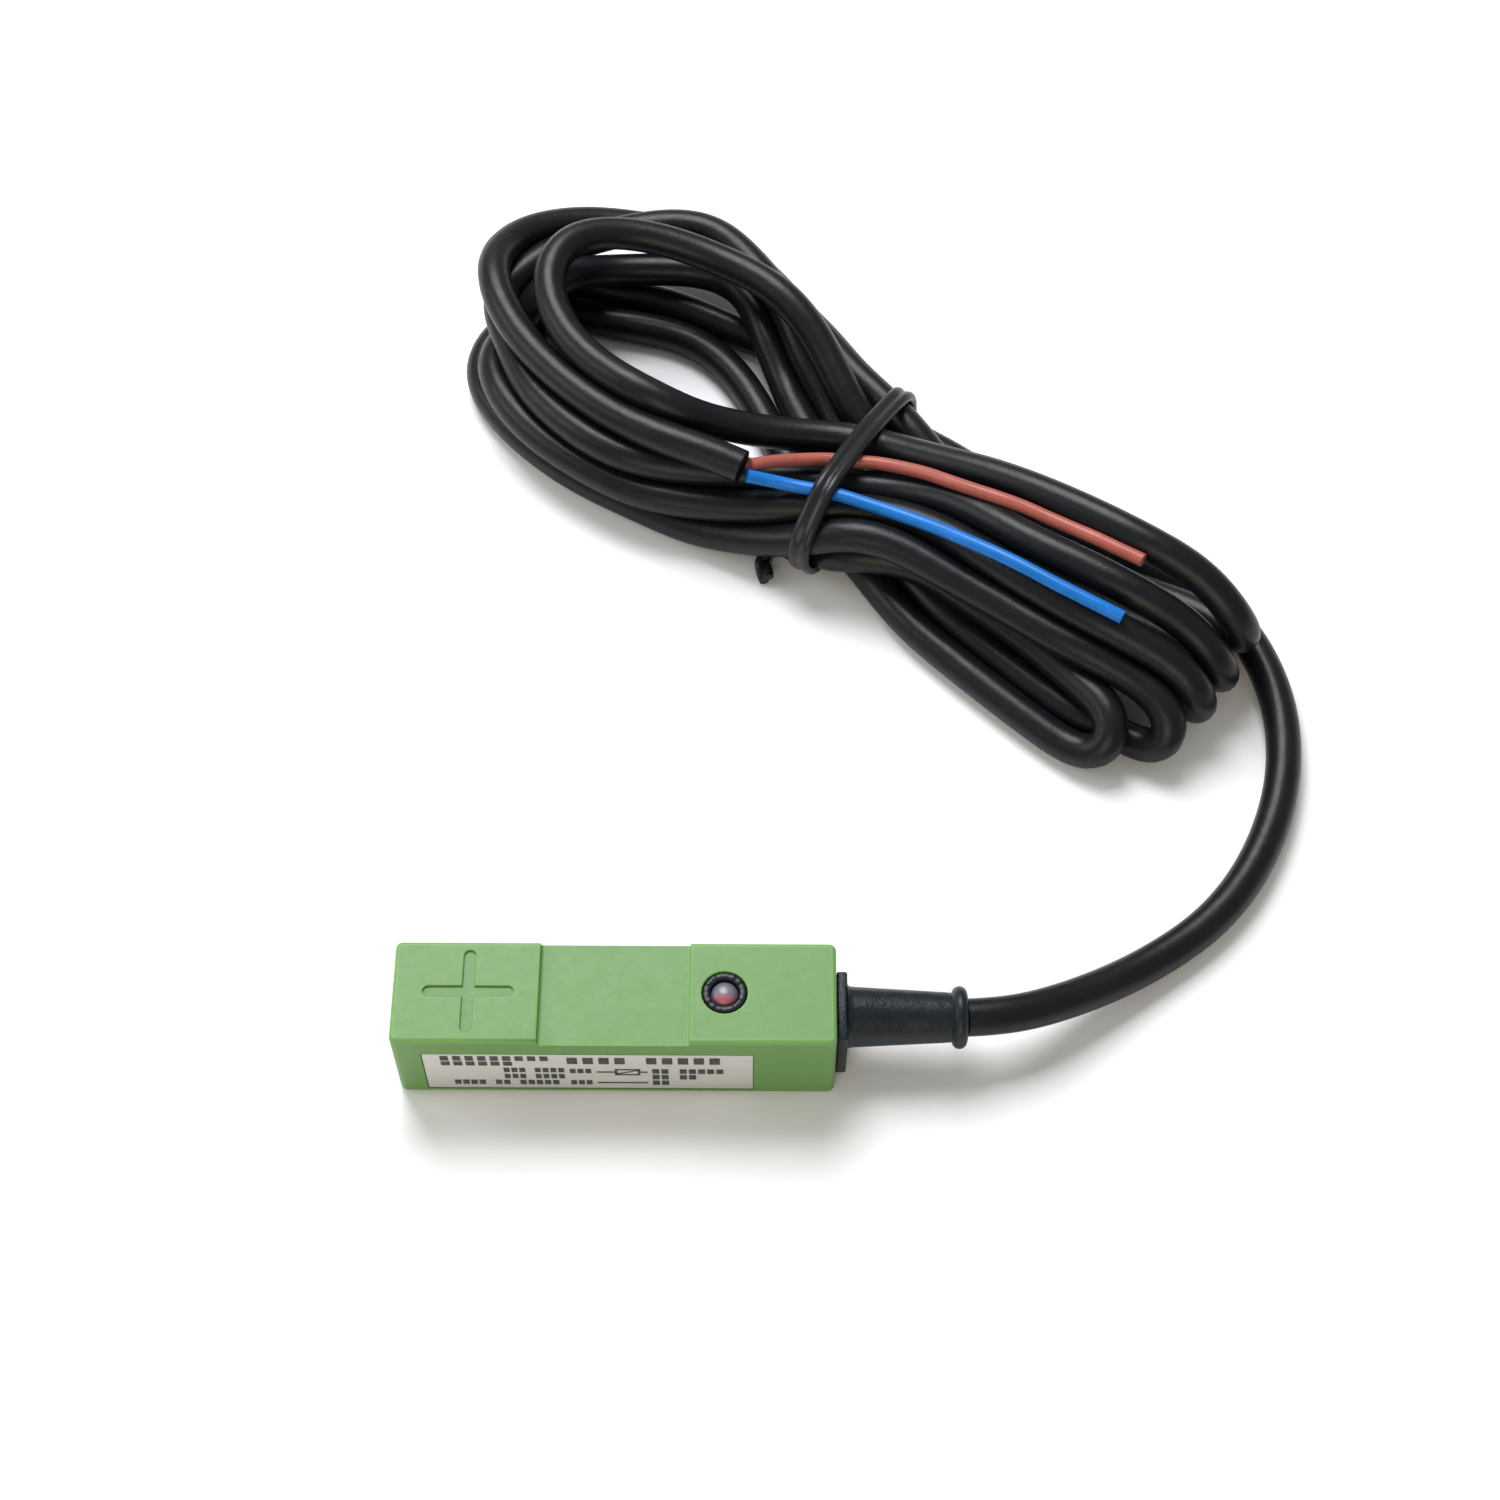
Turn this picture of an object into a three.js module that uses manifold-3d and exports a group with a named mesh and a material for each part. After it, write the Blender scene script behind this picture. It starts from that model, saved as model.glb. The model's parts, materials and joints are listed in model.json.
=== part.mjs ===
// Inductive proximity sensor: a block-shaped plastic housing with a target mark over the coil, an
// indicator lamp, a rating label, a moulded strain relief and a two-core cable tied up in a hank.
// Millimetres, +Z up. The origin is the centre of the housing's base, +X points along the housing
// towards the cable, and the label is on the -Y side.

import * as THREE from 'three';
import { mergeVertices } from 'three/addons/utils/BufferGeometryUtils.js';
import Module from 'manifold-3d';

const wasm = await Module();
wasm.setup();

// ---------------------------------------------------------------- driving dimensions

const clearance = 0.1;        // between pieces that sit in or on each other
const softGap = 0.3;          // between the lengths of the cable, the wires and the tie
const facets = 24;            // sides of a small round piece

const housing = {
  length: 48,
  width: 12,
  height: 13,
  edge: 0.5,                  // rounding of the outside edges
  wall: 1.4,
  roof: 1.2,                  // wall over the cavity, measured under the waist
  headWall: 1.5,
  headPad: 15.8,              // raised pad over the coil
  cablePad: 15.8,             // raised pad with the lamp
  waistDepth: 0.9,            // the clamp strap lies in this recess
  waistFillet: 0.35,
};

const target = { inset: 8.2, length: 9.8, arm: 1.25, depth: 0.3 };

const label = {
  inset: 3.1,
  length: 36,
  foot: 0.75,
  height: 9.1,
  depth: 0.25,
  foil: 0.15,
  glueGap: 0.02,
};

const lamp = {
  inset: 12.1,                // from the cable end to the lamp's axis
  diameter: 3.1,
  dome: 1.3,                  // height of the rounded tip
  proud: 0.15,                // tip above the pad
  length: 5.3,
  rim: 3.8,
  rimHeight: 1,
  pinSpacing: 1.9,
  pin: 0.5,
};

const seal = { diameter: 4.8, height: 1.7, proud: 0.05 };

const cap = { thickness: 2 };

const relief = {
  flange: 8.2,
  flangeThickness: 1.2,
  flangeHeight: 5.4,          // centre of the flange above the base
  axisHeight: 6.9,            // axis of the cable above the base
  root: 6.7,
  tip: 5.3,
  length: 11.5,
  bead: 6.9,
  beadWidth: 1.7,
  beadEdge: 0.4,
  neck: 5.6,
  filletRadius: 0.6,
};

const cable = { diameter: 4.2, sides: 10, innerLength: 5, step: 9 };
const wire = { diameter: 1.65, sides: 8, step: 3 };

// The same two cores between the jacket's inner end and the board's pads.
const innerCore = { diameter: 1.4, step: 0.9, straight: 0.9, padInset: 1.4, padLength: 0.6 };

const crimp = { wall: 0.5, length: 2.2, inset: 0.4 };

const core = { diameter: 8.8, height: 4.5, wall: 0.9, floor: 1, post: 3, slot: 1.6 };
const bobbin = { wall: 0.35, flange: 0.4 };

// The coil's wire and how its two ends leave the core and land on the board.
const magnetWire = { diameter: 0.3, reach: 0.6, drop: 0.9, landing: 1.2, pad: 1 };

const board = { height: 4.6, thickness: 1, margin: 0.3, headGap: 0.6, cableGap: 1.5 };
const resin = { foot: 0.15, rear: 3.2 };

const tie = {
  width: 2.8,
  thickness: 1.3,
  tail: 9,
  tailWidth: 1.9,
  slack: 0.6,                 // across the bundle
  corner: 2.6,
  innerCorner: 0.9,
};

// The hank lies behind the housing: two round lobes, drawn together by the tie between them.
const hank = {
  left: new THREE.Vector2(0, 92),
  leftRadius: 23,
  right: new THREE.Vector2(59, 50.5),
  rightRadius: 17.5,
  waist: new THREE.Vector2(28.5, 75.5),
  waistAngle: THREE.MathUtils.degToRad(-16.2),
  waistHalf: 16,
  leftHeight: 18.5,
  waistHeight: 10.2,
  rightHeight: 13,
  slopeStart: 5,              // along the hank from the tie, where the top begins to rise
  slopeEnd: 24,
  jacketEnd: 13.4,            // along the hank before the tie, where the outer jacket stops
};

// The cable's route on the table, from the strain relief to the hank.
const leadRoute = [
  [38.9, 0.0, 6.9],
  [42.4, 0.2, 6.8],
  [46.0, 1.3, 6.0],
  [49.8, 3.1, 4.8],
  [53.4, 5.0, 3.7],
  [56.9, 7.0, 2.8],
  [60.2, 9.1, 2.3],
  [63.4, 11.3, 2.1],
  [66.5, 13.6, 2.1],
  [69.4, 16.6, 2.1],
  [71.9, 19.9, 2.1],
  [73.9, 23.4, 2.1],
  [75.5, 26.9, 2.1],
  [76.8, 30.6, 2.1],
  [77.7, 34.4, 2.1],
  [78.2, 38.4, 2.1],
  [78.2, 42.4, 2.1],
  [77.7, 46.4, 2.1],
  [76.6, 50.2, 2.1],
];

// The two bare-ended wires on top of the hank, from the jacket's end under the tie to their tips.
const brownRoute = [
  [14.4, 70.9, 13.4],
  [17.4, 72.1, 12.6],
  [20.6, 72.9, 11.9],
  [23.7, 73.3, 11.5],
  [26.9, 73.0, 11.5],
  [30.0, 72.4, 11.9],
  [33.0, 71.2, 12.6],
  [36.0, 69.5, 13.6],
  [38.8, 67.5, 14.6],
  [41.6, 65.7, 15.4],
  [44.5, 64.2, 15.8],
  [47.3, 62.9, 15.8],
  [50.0, 61.3, 15.9],
  [52.7, 59.5, 16.3],
  [55.3, 57.7, 16.8],
  [57.9, 55.9, 17.1],
  [60.5, 54.2, 17.3],
];

const blueRoute = [
  [14.0, 69.4, 13.2],
  [16.8, 69.3, 12.4],
  [19.8, 68.8, 12.0],
  [22.9, 67.9, 12.3],
  [25.8, 66.8, 12.6],
  [28.7, 65.5, 12.8],
  [31.6, 64.1, 13.1],
  [34.4, 62.6, 13.5],
  [37.1, 60.9, 14.1],
  [39.7, 59.0, 14.8],
  [42.4, 57.1, 15.4],
  [45.0, 55.3, 15.8],
  [47.6, 53.5, 16.0],
  [50.0, 51.8, 16.1],
  [52.7, 50.1, 16.1],
  [55.2, 48.6, 16.0],
  [57.8, 47.2, 15.7],
];

// ---------------------------------------------------------------- materials

function finish(colour, roughness, metalness = 0) {
  return new THREE.MeshStandardMaterial({ color: colour, roughness, metalness });
}

const finishes = {
  housing: finish(0x8fb877, 0.5),
  label: finish(0xbfbfb8, 0.45),
  rubber: finish(0x17181a, 0.45),
  cable: finish(0x1d1f21, 0.4),
  tie: finish(0x121314, 0.5),
  brown: finish(0xa4554b, 0.4),
  blue: finish(0x2373cd, 0.35),
  lens: finish(0xc9a9b4, 0.15),
  tinned: finish(0xb9bcbf, 0.3, 1),
  copper: finish(0xb8693f, 0.3, 1),
  ferrite: finish(0x2b2c30, 0.7),
  bobbin: finish(0xe9e4d2, 0.5),
  laminate: finish(0x1f5b3a, 0.5),
  chip: finish(0x1a1b1d, 0.55),
  ceramic: finish(0xb39a72, 0.5),
  resistor: finish(0x222326, 0.4),
  resin: finish(0x2a2520, 0.3),
};

// ---------------------------------------------------------------- solid modelling helpers

function toSolid(geometry) {
  const bare = geometry.index ? geometry.clone() : geometry;
  bare.deleteAttribute('normal');
  bare.deleteAttribute('uv');
  const merged = mergeVertices(bare, 1e-4);
  return new wasm.Manifold(new wasm.Mesh({
    numProp: 3,
    vertProperties: new Float32Array(merged.attributes.position.array),
    triVerts: new Uint32Array(merged.index.array),
  }));
}

function toGeometry(solid) {
  const mesh = solid.getMesh();
  const geometry = new THREE.BufferGeometry();
  geometry.setAttribute('position', new THREE.BufferAttribute(mesh.vertProperties, 3));
  geometry.setIndex(new THREE.BufferAttribute(mesh.triVerts, 1));
  geometry.computeVertexNormals();
  return geometry;
}

function join(...geometries) {
  return toGeometry(geometries.map(toSolid).reduce((sum, solid) => sum.add(solid)));
}

function cut(body, ...tools) {
  return toGeometry(tools.map(toSolid).reduce((rest, tool) => rest.subtract(tool), toSolid(body)));
}

function common(a, b) {
  return toGeometry(toSolid(a).intersect(toSolid(b)));
}

// A box given by its low and high corners.
function block(low, high) {
  const size = high.map((value, axis) => value - low[axis]);
  const middle = high.map((value, axis) => (value + low[axis]) / 2);
  return new THREE.BoxGeometry(...size).translate(...middle);
}

// A cylinder along Z, or along X when turned, standing on its start point.
function rod(diameter, length, start, alongX = false, sides = facets) {
  const geometry = new THREE.CylinderGeometry(diameter / 2, diameter / 2, length, sides);
  if (alongX) {
    geometry.rotateZ(-Math.PI / 2).translate(length / 2, 0, 0);
  } else {
    geometry.rotateX(Math.PI / 2).translate(0, 0, length / 2);
  }
  return geometry.translate(...start);
}

// A solid of revolution about Z from [radius, height] pairs that start and end on the axis.
function turned(profile, sides = facets) {
  const points = profile.map(([radius, height]) => new THREE.Vector2(radius, height));
  return new THREE.LatheGeometry(points, sides).rotateX(Math.PI / 2);
}

// A tube of round section along a list of points; the ends are square to the route.
function tube(points, diameter, sides, step) {
  const curve = new THREE.CatmullRomCurve3(points.map((point) => new THREE.Vector3(...point)));
  const section = new THREE.Shape();
  section.absarc(0, 0, diameter / 2, 0, 2 * Math.PI);
  return new THREE.ExtrudeGeometry(section, {
    steps: Math.max(2, Math.round(curve.getLength() / step)),
    curveSegments: sides,
    extrudePath: curve,
  });
}

function roundedRectangle(width, height, radius) {
  const shape = new THREE.Shape();
  const x = width / 2 - radius;
  const y = height / 2 - radius;
  shape.absarc(x, y, radius, 0, Math.PI / 2);
  shape.absarc(-x, y, radius, Math.PI / 2, Math.PI);
  shape.absarc(-x, -y, radius, Math.PI, 1.5 * Math.PI);
  shape.absarc(x, -y, radius, 1.5 * Math.PI, 2 * Math.PI);
  return shape;
}

const sensor = new THREE.Group();

function piece(name, geometry, material, parent = sensor) {
  const mesh = new THREE.Mesh(geometry, material);
  mesh.name = name;
  parent.add(mesh);
  return mesh;
}

// ---------------------------------------------------------------- places along the housing

const headEnd = -housing.length / 2;
const cableEnd = housing.length / 2;
const waistStart = headEnd + housing.headPad;
const waistEnd = cableEnd - housing.cablePad;
const padTop = housing.height;
const waistTop = housing.height - housing.waistDepth;
const front = -housing.width / 2;
const targetX = headEnd + target.inset;
const lampX = cableEnd - lamp.inset;

const cavity = {
  start: headEnd + housing.headWall,
  half: housing.width / 2 - housing.wall,
  floor: housing.wall,
  top: waistTop - housing.roof,
};

const labelStart = headEnd + label.inset;
const labelEnd = labelStart + label.length;
const labelTop = label.foot + label.height;
const labelBed = front + label.depth;

const capStart = cableEnd - cap.thickness;
const jacketStart = capStart - resin.rear - cable.innerLength + crimp.length;

const boardStart = targetX + core.diameter / 2 + board.headGap;
const boardEnd = jacketStart - board.cableGap;
const boardHalf = cavity.half - board.margin;
const boardTop = board.height + board.thickness;
const partFoot = boardTop + clearance;

const lampTop = padTop + lamp.proud;
const lampFoot = lampTop - lamp.length;

const reliefStart = cableEnd + clearance;
const bootStart = reliefStart + relief.flangeThickness;
const bootEnd = bootStart + relief.length;
const reliefEnd = bootEnd + relief.beadWidth;
const jacketBore = cable.diameter + 2 * clearance;

// ---------------------------------------------------------------- housing

// The block with rounded edges, drawn as its plan and rounded top and bottom by the extrusion.
function housingBlock() {
  const plan = roundedRectangle(
    housing.length - 2 * housing.edge,
    housing.width - 2 * housing.edge,
    housing.edge / 2,
  );
  return new THREE.ExtrudeGeometry(plan, {
    depth: housing.height - 2 * housing.edge,
    bevelEnabled: true,
    bevelSize: housing.edge,
    bevelThickness: housing.edge,
    bevelSegments: 3,
    curveSegments: 3,
  }).translate(0, 0, housing.edge);
}

// The clamp recess across the top, with a small fillet at the foot of each step.
function waistCutter() {
  const fillet = housing.waistFillet;
  const over = housing.height + 1;
  const side = new THREE.Shape();
  side.moveTo(waistStart, over);
  side.lineTo(waistStart, waistTop + fillet);
  side.absarc(waistStart + fillet, waistTop + fillet, fillet, Math.PI, 1.5 * Math.PI);
  side.lineTo(waistEnd - fillet, waistTop);
  side.absarc(waistEnd - fillet, waistTop + fillet, fillet, 1.5 * Math.PI, 2 * Math.PI);
  side.lineTo(waistEnd, over);
  const depth = housing.width + 2;
  return new THREE.ExtrudeGeometry(side, { depth, bevelEnabled: false, curveSegments: 4 })
    .rotateX(Math.PI / 2)
    .translate(0, depth / 2, 0);
}

function slotWithRoundEnds(length, width, depth) {
  const plan = roundedRectangle(length, width, Math.min(length, width) / 2 - 0.001);
  return new THREE.ExtrudeGeometry(plan, { depth, bevelEnabled: false, curveSegments: 4 });
}

function housingShell() {
  const deep = target.depth + 1;
  const markFoot = padTop - target.depth;
  return cut(
    housingBlock(),
    waistCutter(),
    block([cavity.start, -cavity.half, cavity.floor], [cableEnd + 1, cavity.half, cavity.top]),
    slotWithRoundEnds(target.length, target.arm, deep).translate(targetX, 0, markFoot),
    slotWithRoundEnds(target.arm, target.length, deep).translate(targetX, 0, markFoot),
    block([labelStart, front - 1, label.foot], [labelEnd, labelBed, labelTop]),
    rod(seal.diameter + 2 * clearance, padTop - cavity.top + 2, [lampX, 0, cavity.top - 1]),
  );
}

piece('housing_shell', housingShell(), finishes.housing);

piece(
  'rating_label',
  block(
    [labelStart + clearance, labelBed - label.glueGap - label.foil, label.foot + clearance],
    [labelEnd - clearance, labelBed - label.glueGap, labelTop - clearance],
  ),
  finishes.label,
);

// The cap closes the housing behind the flange, with a hole for the strain relief's neck.
piece(
  'end_cap',
  cut(
    block(
      [capStart, -cavity.half + clearance, cavity.floor + clearance],
      [cableEnd, cavity.half - clearance, cavity.top - clearance],
    ),
    rod(relief.neck + 2 * clearance, cap.thickness + 2, [capStart - 1, 0, relief.axisHeight], true),
  ),
  finishes.housing,
);

// ---------------------------------------------------------------- indicator lamp

function lampBody() {
  const radius = lamp.diameter / 2;
  const shoulder = lamp.length - lamp.dome;
  const profile = [
    [0, 0],
    [lamp.rim / 2, 0],
    [lamp.rim / 2, lamp.rimHeight],
    [radius, lamp.rimHeight],
    [radius, shoulder],
  ];
  const rings = 5;
  for (let ring = 1; ring <= rings; ring += 1) {
    const angle = (ring / rings) * (Math.PI / 2);
    const atAxis = ring === rings;
    profile.push([atAxis ? 0 : radius * Math.cos(angle), shoulder + lamp.dome * Math.sin(angle)]);
  }
  return turned(profile).translate(lampX, 0, lampFoot);
}

piece('indicator_lamp', lampBody(), finishes.lens);

for (const [name, side] of [['lamp_pin_anode', -1], ['lamp_pin_cathode', 1]]) {
  const length = lampFoot - clearance - (board.height - 0.4);
  const start = [lampX + (side * lamp.pinSpacing) / 2, 0, board.height - 0.4];
  piece(name, rod(lamp.pin, length, start, false, 8), finishes.tinned);
}

piece(
  'lamp_seal_ring',
  cut(
    rod(seal.diameter, seal.height, [lampX, 0, padTop + seal.proud - seal.height]),
    rod(lamp.diameter + 2 * clearance, seal.height + 2, [lampX, 0, padTop - seal.height - 1]),
  ),
  finishes.rubber,
);

// ---------------------------------------------------------------- sensing coil under the target

const coreTop = cavity.top - clearance;
const coreFoot = coreTop - core.height;
const windowInner = core.post / 2 + clearance;
const windowOuter = core.diameter / 2 - core.wall - clearance;
const bobbinFoot = coreFoot + core.floor + clearance;
const bobbinTop = coreTop - clearance;

// The open side of the pot core faces the target mark, and a slot lets the coil's wires out.
function ferriteCore() {
  const well = cut(
    rod(core.diameter - 2 * core.wall, core.height, [0, 0, core.floor]),
    rod(core.post, core.height + 2, [0, 0, 0]),
  );
  return cut(
    rod(core.diameter, core.height, [0, 0, 0]),
    well,
    block([windowOuter, -core.slot / 2, core.floor], [core.diameter, core.slot / 2, core.height + 1]),
  ).translate(targetX, 0, coreFoot);
}

function coilBobbin() {
  const height = bobbinTop - bobbinFoot;
  const barrel = windowInner + bobbin.wall;
  return cut(
    rod(2 * windowOuter, height, [0, 0, 0]),
    rod(2 * windowInner, height + 2, [0, 0, -1]),
    cut(
      rod(2 * windowOuter + 2, height - 2 * bobbin.flange, [0, 0, bobbin.flange]),
      rod(2 * barrel, height, [0, 0, 0]),
    ),
  ).translate(targetX, 0, bobbinFoot);
}

const windingFoot = bobbinFoot + bobbin.flange + clearance;
const windingTop = bobbinTop - bobbin.flange - clearance;
const windingOuter = windowOuter - 0.2;

piece('ferrite_core', ferriteCore(), finishes.ferrite);
piece('coil_bobbin', coilBobbin(), finishes.bobbin);
piece(
  'coil_winding',
  cut(
    rod(2 * windingOuter, windingTop - windingFoot, [targetX, 0, windingFoot]),
    rod(2 * (windowInner + bobbin.wall + clearance), core.height, [targetX, 0, windingFoot - 1]),
  ),
  finishes.copper,
);

// The coil's two ends leave through the slot and come down onto the board.
for (const [name, side] of [['coil_wire_start', -1], ['coil_wire_end', 1]]) {
  const y = (side * core.slot) / 4;
  const outside = targetX + core.diameter / 2 + magnetWire.reach;
  const height = (windingFoot + windingTop) / 2;
  const landed = boardStart + magnetWire.landing;
  const route = [
    [targetX + windingOuter + clearance, y, height],
    [targetX + core.diameter / 2, y, height],
    [outside, y * 1.5, height - magnetWire.drop],
    [landed, y * 3, partFoot + magnetWire.diameter / 2],
    [landed + magnetWire.pad, y * 3.6, partFoot + magnetWire.diameter / 2],
  ];
  piece(name, tube(route, magnetWire.diameter, 6, 0.8), finishes.copper);
}

// ---------------------------------------------------------------- circuit board

function circuitBoard() {
  const pinHole = lamp.pin + 2 * clearance;
  const holes = [-1, 1].map((side) => rod(
    pinHole,
    board.thickness + 2,
    [lampX + (side * lamp.pinSpacing) / 2, 0, board.height - 1],
    false,
    8,
  ));
  return cut(
    block([boardStart, -boardHalf, board.height], [boardEnd, boardHalf, boardTop]),
    ...holes,
  );
}

piece('circuit_board', circuitBoard(), finishes.laminate);

// A moulded package with gull-wing legs along both long sides.
function chip(x, y, length, width, height, legs) {
  const legLength = 0.8;
  const pitch = length / legs;
  const parts = [block([-length / 2, -width / 2, 0.1], [length / 2, width / 2, height])];
  for (const side of [-1, 1]) {
    for (let leg = 0; leg < legs; leg += 1) {
      const middle = -length / 2 + (leg + 0.5) * pitch;
      const inner = side * (width / 2 - 0.1);
      const outer = side * (width / 2 + legLength);
      const knee = side * (width / 2 + legLength / 2);
      const low = Math.min(inner, knee);
      const high = Math.max(inner, knee);
      parts.push(block([middle - 0.2, low, height / 2 - 0.1], [middle + 0.2, high, height / 2 + 0.1]));
      const foot = [Math.min(knee - side * 0.2, outer), Math.max(knee - side * 0.2, outer)];
      parts.push(block([middle - 0.2, foot[0], 0], [middle + 0.2, foot[1], 0.2]));
      const riser = [Math.min(knee - side * 0.2, knee), Math.max(knee - side * 0.2, knee)];
      parts.push(block([middle - 0.2, riser[0], 0], [middle + 0.2, riser[1], height / 2 + 0.1]));
    }
  }
  return join(...parts).translate(x, y, partFoot);
}

// A two-terminal part with a metal end cap at each end.
function twoTerminal(x, y, length, width, height, turnedAcross = false) {
  const lip = 0.05;
  const capLength = length * 0.2;
  const body = block([-length / 2 + lip, -width / 2, lip], [length / 2 - lip, width / 2, height]);
  const caps = [-1, 1].map((side) => {
    const edge = (side * length) / 2;
    const inner = side * (length / 2 - capLength);
    return block(
      [Math.min(edge, inner), -width / 2 - lip, 0],
      [Math.max(edge, inner), width / 2 + lip, height + lip],
    );
  });
  const geometry = join(body, ...caps);
  return (turnedAcross ? geometry.rotateZ(Math.PI / 2) : geometry).translate(x, y, partFoot);
}

piece('oscillator_chip', chip(boardStart + 6.2, 0, 4.9, 3.9, 1.5, 4), finishes.chip);
piece('voltage_regulator', chip(boardStart + 12, 2.3, 3, 1.6, 1.1, 2), finishes.chip);
piece('output_transistor', chip(boardStart + 12, -2.3, 3, 1.6, 1.1, 2), finishes.chip);
piece('surge_diode', twoTerminal(boardStart + 16.4, -2.6, 4.2, 2.4, 1.9), finishes.chip);
piece('reverse_diode', twoTerminal(boardStart + 16.4, 2.7, 3.6, 1.7, 1.2), finishes.chip);
piece('tuning_capacitor', twoTerminal(boardStart + 1.5, 3.2, 2, 1.2, 0.8), finishes.ceramic);
piece('smoothing_capacitor', twoTerminal(boardStart + 16.4, 0.3, 3.2, 1.6, 1.4), finishes.ceramic);
piece('sensitivity_resistor', twoTerminal(boardStart + 1.5, -3.2, 2, 1.2, 0.5), finishes.resistor);
piece('lamp_resistor', twoTerminal(lampX, 2.9, 2, 1.2, 0.5, true), finishes.resistor);
piece('load_resistor', twoTerminal(lampX, -2.9, 2, 1.2, 0.5, true), finishes.resistor);

// Cast resin under the board and the coil keeps them at their height.
piece(
  'resin_bed',
  join(
    block(
      [boardStart - clearance, -boardHalf, cavity.floor + resin.foot],
      [capStart - resin.rear - clearance, boardHalf, board.height - 0.5],
    ),
    block(
      [cavity.start + clearance, -boardHalf, cavity.floor + resin.foot],
      [boardStart - clearance * 2, boardHalf, coreFoot - clearance],
    ),
    block(
      [boardStart - 1, -boardHalf, cavity.floor + resin.foot],
      [boardStart, boardHalf, board.height - 0.5],
    ),
  ),
  finishes.resin,
);

// ---------------------------------------------------------------- strain relief and cable entry

// Rubber moulded round the cable: square flange, tapered boot with a bead at its mouth, and a neck
// that passes through the cap.
function strainRelief() {
  const fillet = relief.filletRadius;
  const root = relief.root / 2;
  const bead = relief.bead / 2;
  const edge = relief.beadEdge;
  const full = reliefEnd - bootStart;
  const profile = [[0, -0.5], [root + fillet, -0.5], [root + fillet, 0]];
  const arcSteps = 3;
  for (let step = 1; step <= arcSteps; step += 1) {
    const angle = (step / arcSteps) * (Math.PI / 2);
    profile.push([root + fillet * (1 - Math.sin(angle)), fillet * (1 - Math.cos(angle))]);
  }
  profile.push(
    [relief.tip / 2, relief.length],
    [bead - edge, relief.length],
    [bead, relief.length + edge],
    [bead, full - edge],
    [bead - edge, full],
    [0, full],
  );
  const boot = turned(profile).rotateY(Math.PI / 2).translate(bootStart, 0, relief.axisHeight);
  const plate = new THREE.ExtrudeGeometry(roundedRectangle(relief.flange, relief.flange, 0.3), {
    depth: relief.flangeThickness,
    bevelEnabled: false,
    curveSegments: 3,
  }).rotateY(Math.PI / 2).translate(reliefStart, 0, relief.flangeHeight);
  const neck = rod(relief.neck, cap.thickness + 0.5, [capStart + clearance, 0, relief.axisHeight], true);
  const bore = rod(jacketBore, full + cap.thickness + 6, [capStart - 1, 0, relief.axisHeight], true);
  return cut(join(boot, plate, neck), bore);
}

piece('strain_relief_boot', strainRelief(), finishes.rubber);

piece(
  'cable_inner_end',
  rod(cable.diameter, reliefEnd - jacketStart, [jacketStart, 0, relief.axisHeight], true, 16),
  finishes.cable,
);

piece(
  'cable_crimp_ring',
  cut(
    rod(
      jacketBore + 2 * crimp.wall,
      crimp.length,
      [jacketStart + crimp.inset, 0, relief.axisHeight],
      true,
    ),
    rod(jacketBore, crimp.length + 2, [jacketStart + crimp.inset - 1, 0, relief.axisHeight], true),
  ),
  finishes.tinned,
);

// Resin cast round the jacket behind the cap holds the cable against pulling.
piece(
  'rear_potting',
  cut(
    block(
      [capStart - resin.rear, -cavity.half + clearance, cavity.floor + clearance],
      [capStart - clearance, cavity.half - clearance, cavity.top - clearance],
    ),
    rod(jacketBore, resin.rear + 2, [capStart - resin.rear - 1, 0, relief.axisHeight], true),
  ),
  finishes.resin,
);

// Inside the housing the two cores spread from the jacket's end onto the board's pads.
for (const [name, side, material] of [
  ['brown_core_inside', 1, finishes.brown],
  ['blue_core_inside', -1, finishes.blue],
]) {
  const y = (side * cable.diameter) / 4;
  const pad = [boardEnd - innerCore.padInset, y * 1.5, partFoot + wire.diameter / 2];
  const bend = jacketStart - innerCore.straight;
  const route = [
    [jacketStart - clearance, y, relief.axisHeight],
    [bend, y, relief.axisHeight],
    [(bend + pad[0]) / 2, y * 1.3, (relief.axisHeight + pad[2]) / 2],
    [pad[0] + innerCore.padLength, pad[1], pad[2]],
    pad,
  ];
  piece(name, tube(route, innerCore.diameter, wire.sides, innerCore.step), material);
}

// ---------------------------------------------------------------- cable, hank, wires and tie

piece('cable_lead', tube(leadRoute, cable.diameter, cable.sides, cable.step), finishes.cable);

// Angle of the point where a line from the given point touches a circle; the turn picks its side.
function tangentAngle(centre, radius, point, turn) {
  const towards = point.clone().sub(centre);
  return towards.angle() + turn * Math.acos(radius / towards.length());
}

// A place at the waist, given along the hank and across it.
function waistPoint(along, across) {
  return new THREE.Vector2(along, across)
    .rotateAround(new THREE.Vector2(), hank.waistAngle)
    .add(hank.waist);
}

const tieGroove = tie.width / 2 + softGap;

// Two round lobes and the straight stretch between them that the tie lies on.
function hankOutline() {
  const farLeft = waistPoint(-tieGroove, hank.waistHalf);
  const farRight = waistPoint(tieGroove, hank.waistHalf);
  const nearLeft = waistPoint(-tieGroove, -hank.waistHalf);
  const nearRight = waistPoint(tieGroove, -hank.waistHalf);
  const { left, leftRadius, right, rightRadius } = hank;
  const shape = new THREE.Shape();
  shape.absarc(
    left.x,
    left.y,
    leftRadius,
    tangentAngle(left, leftRadius, farLeft, 1),
    tangentAngle(left, leftRadius, nearLeft, -1),
  );
  shape.lineTo(nearRight.x, nearRight.y);
  shape.absarc(
    right.x,
    right.y,
    rightRadius,
    tangentAngle(right, rightRadius, nearRight, 1),
    tangentAngle(right, rightRadius, farRight, -1) + 2 * Math.PI,
  );
  shape.lineTo(farLeft.x, farLeft.y);
  return shape;
}

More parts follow.
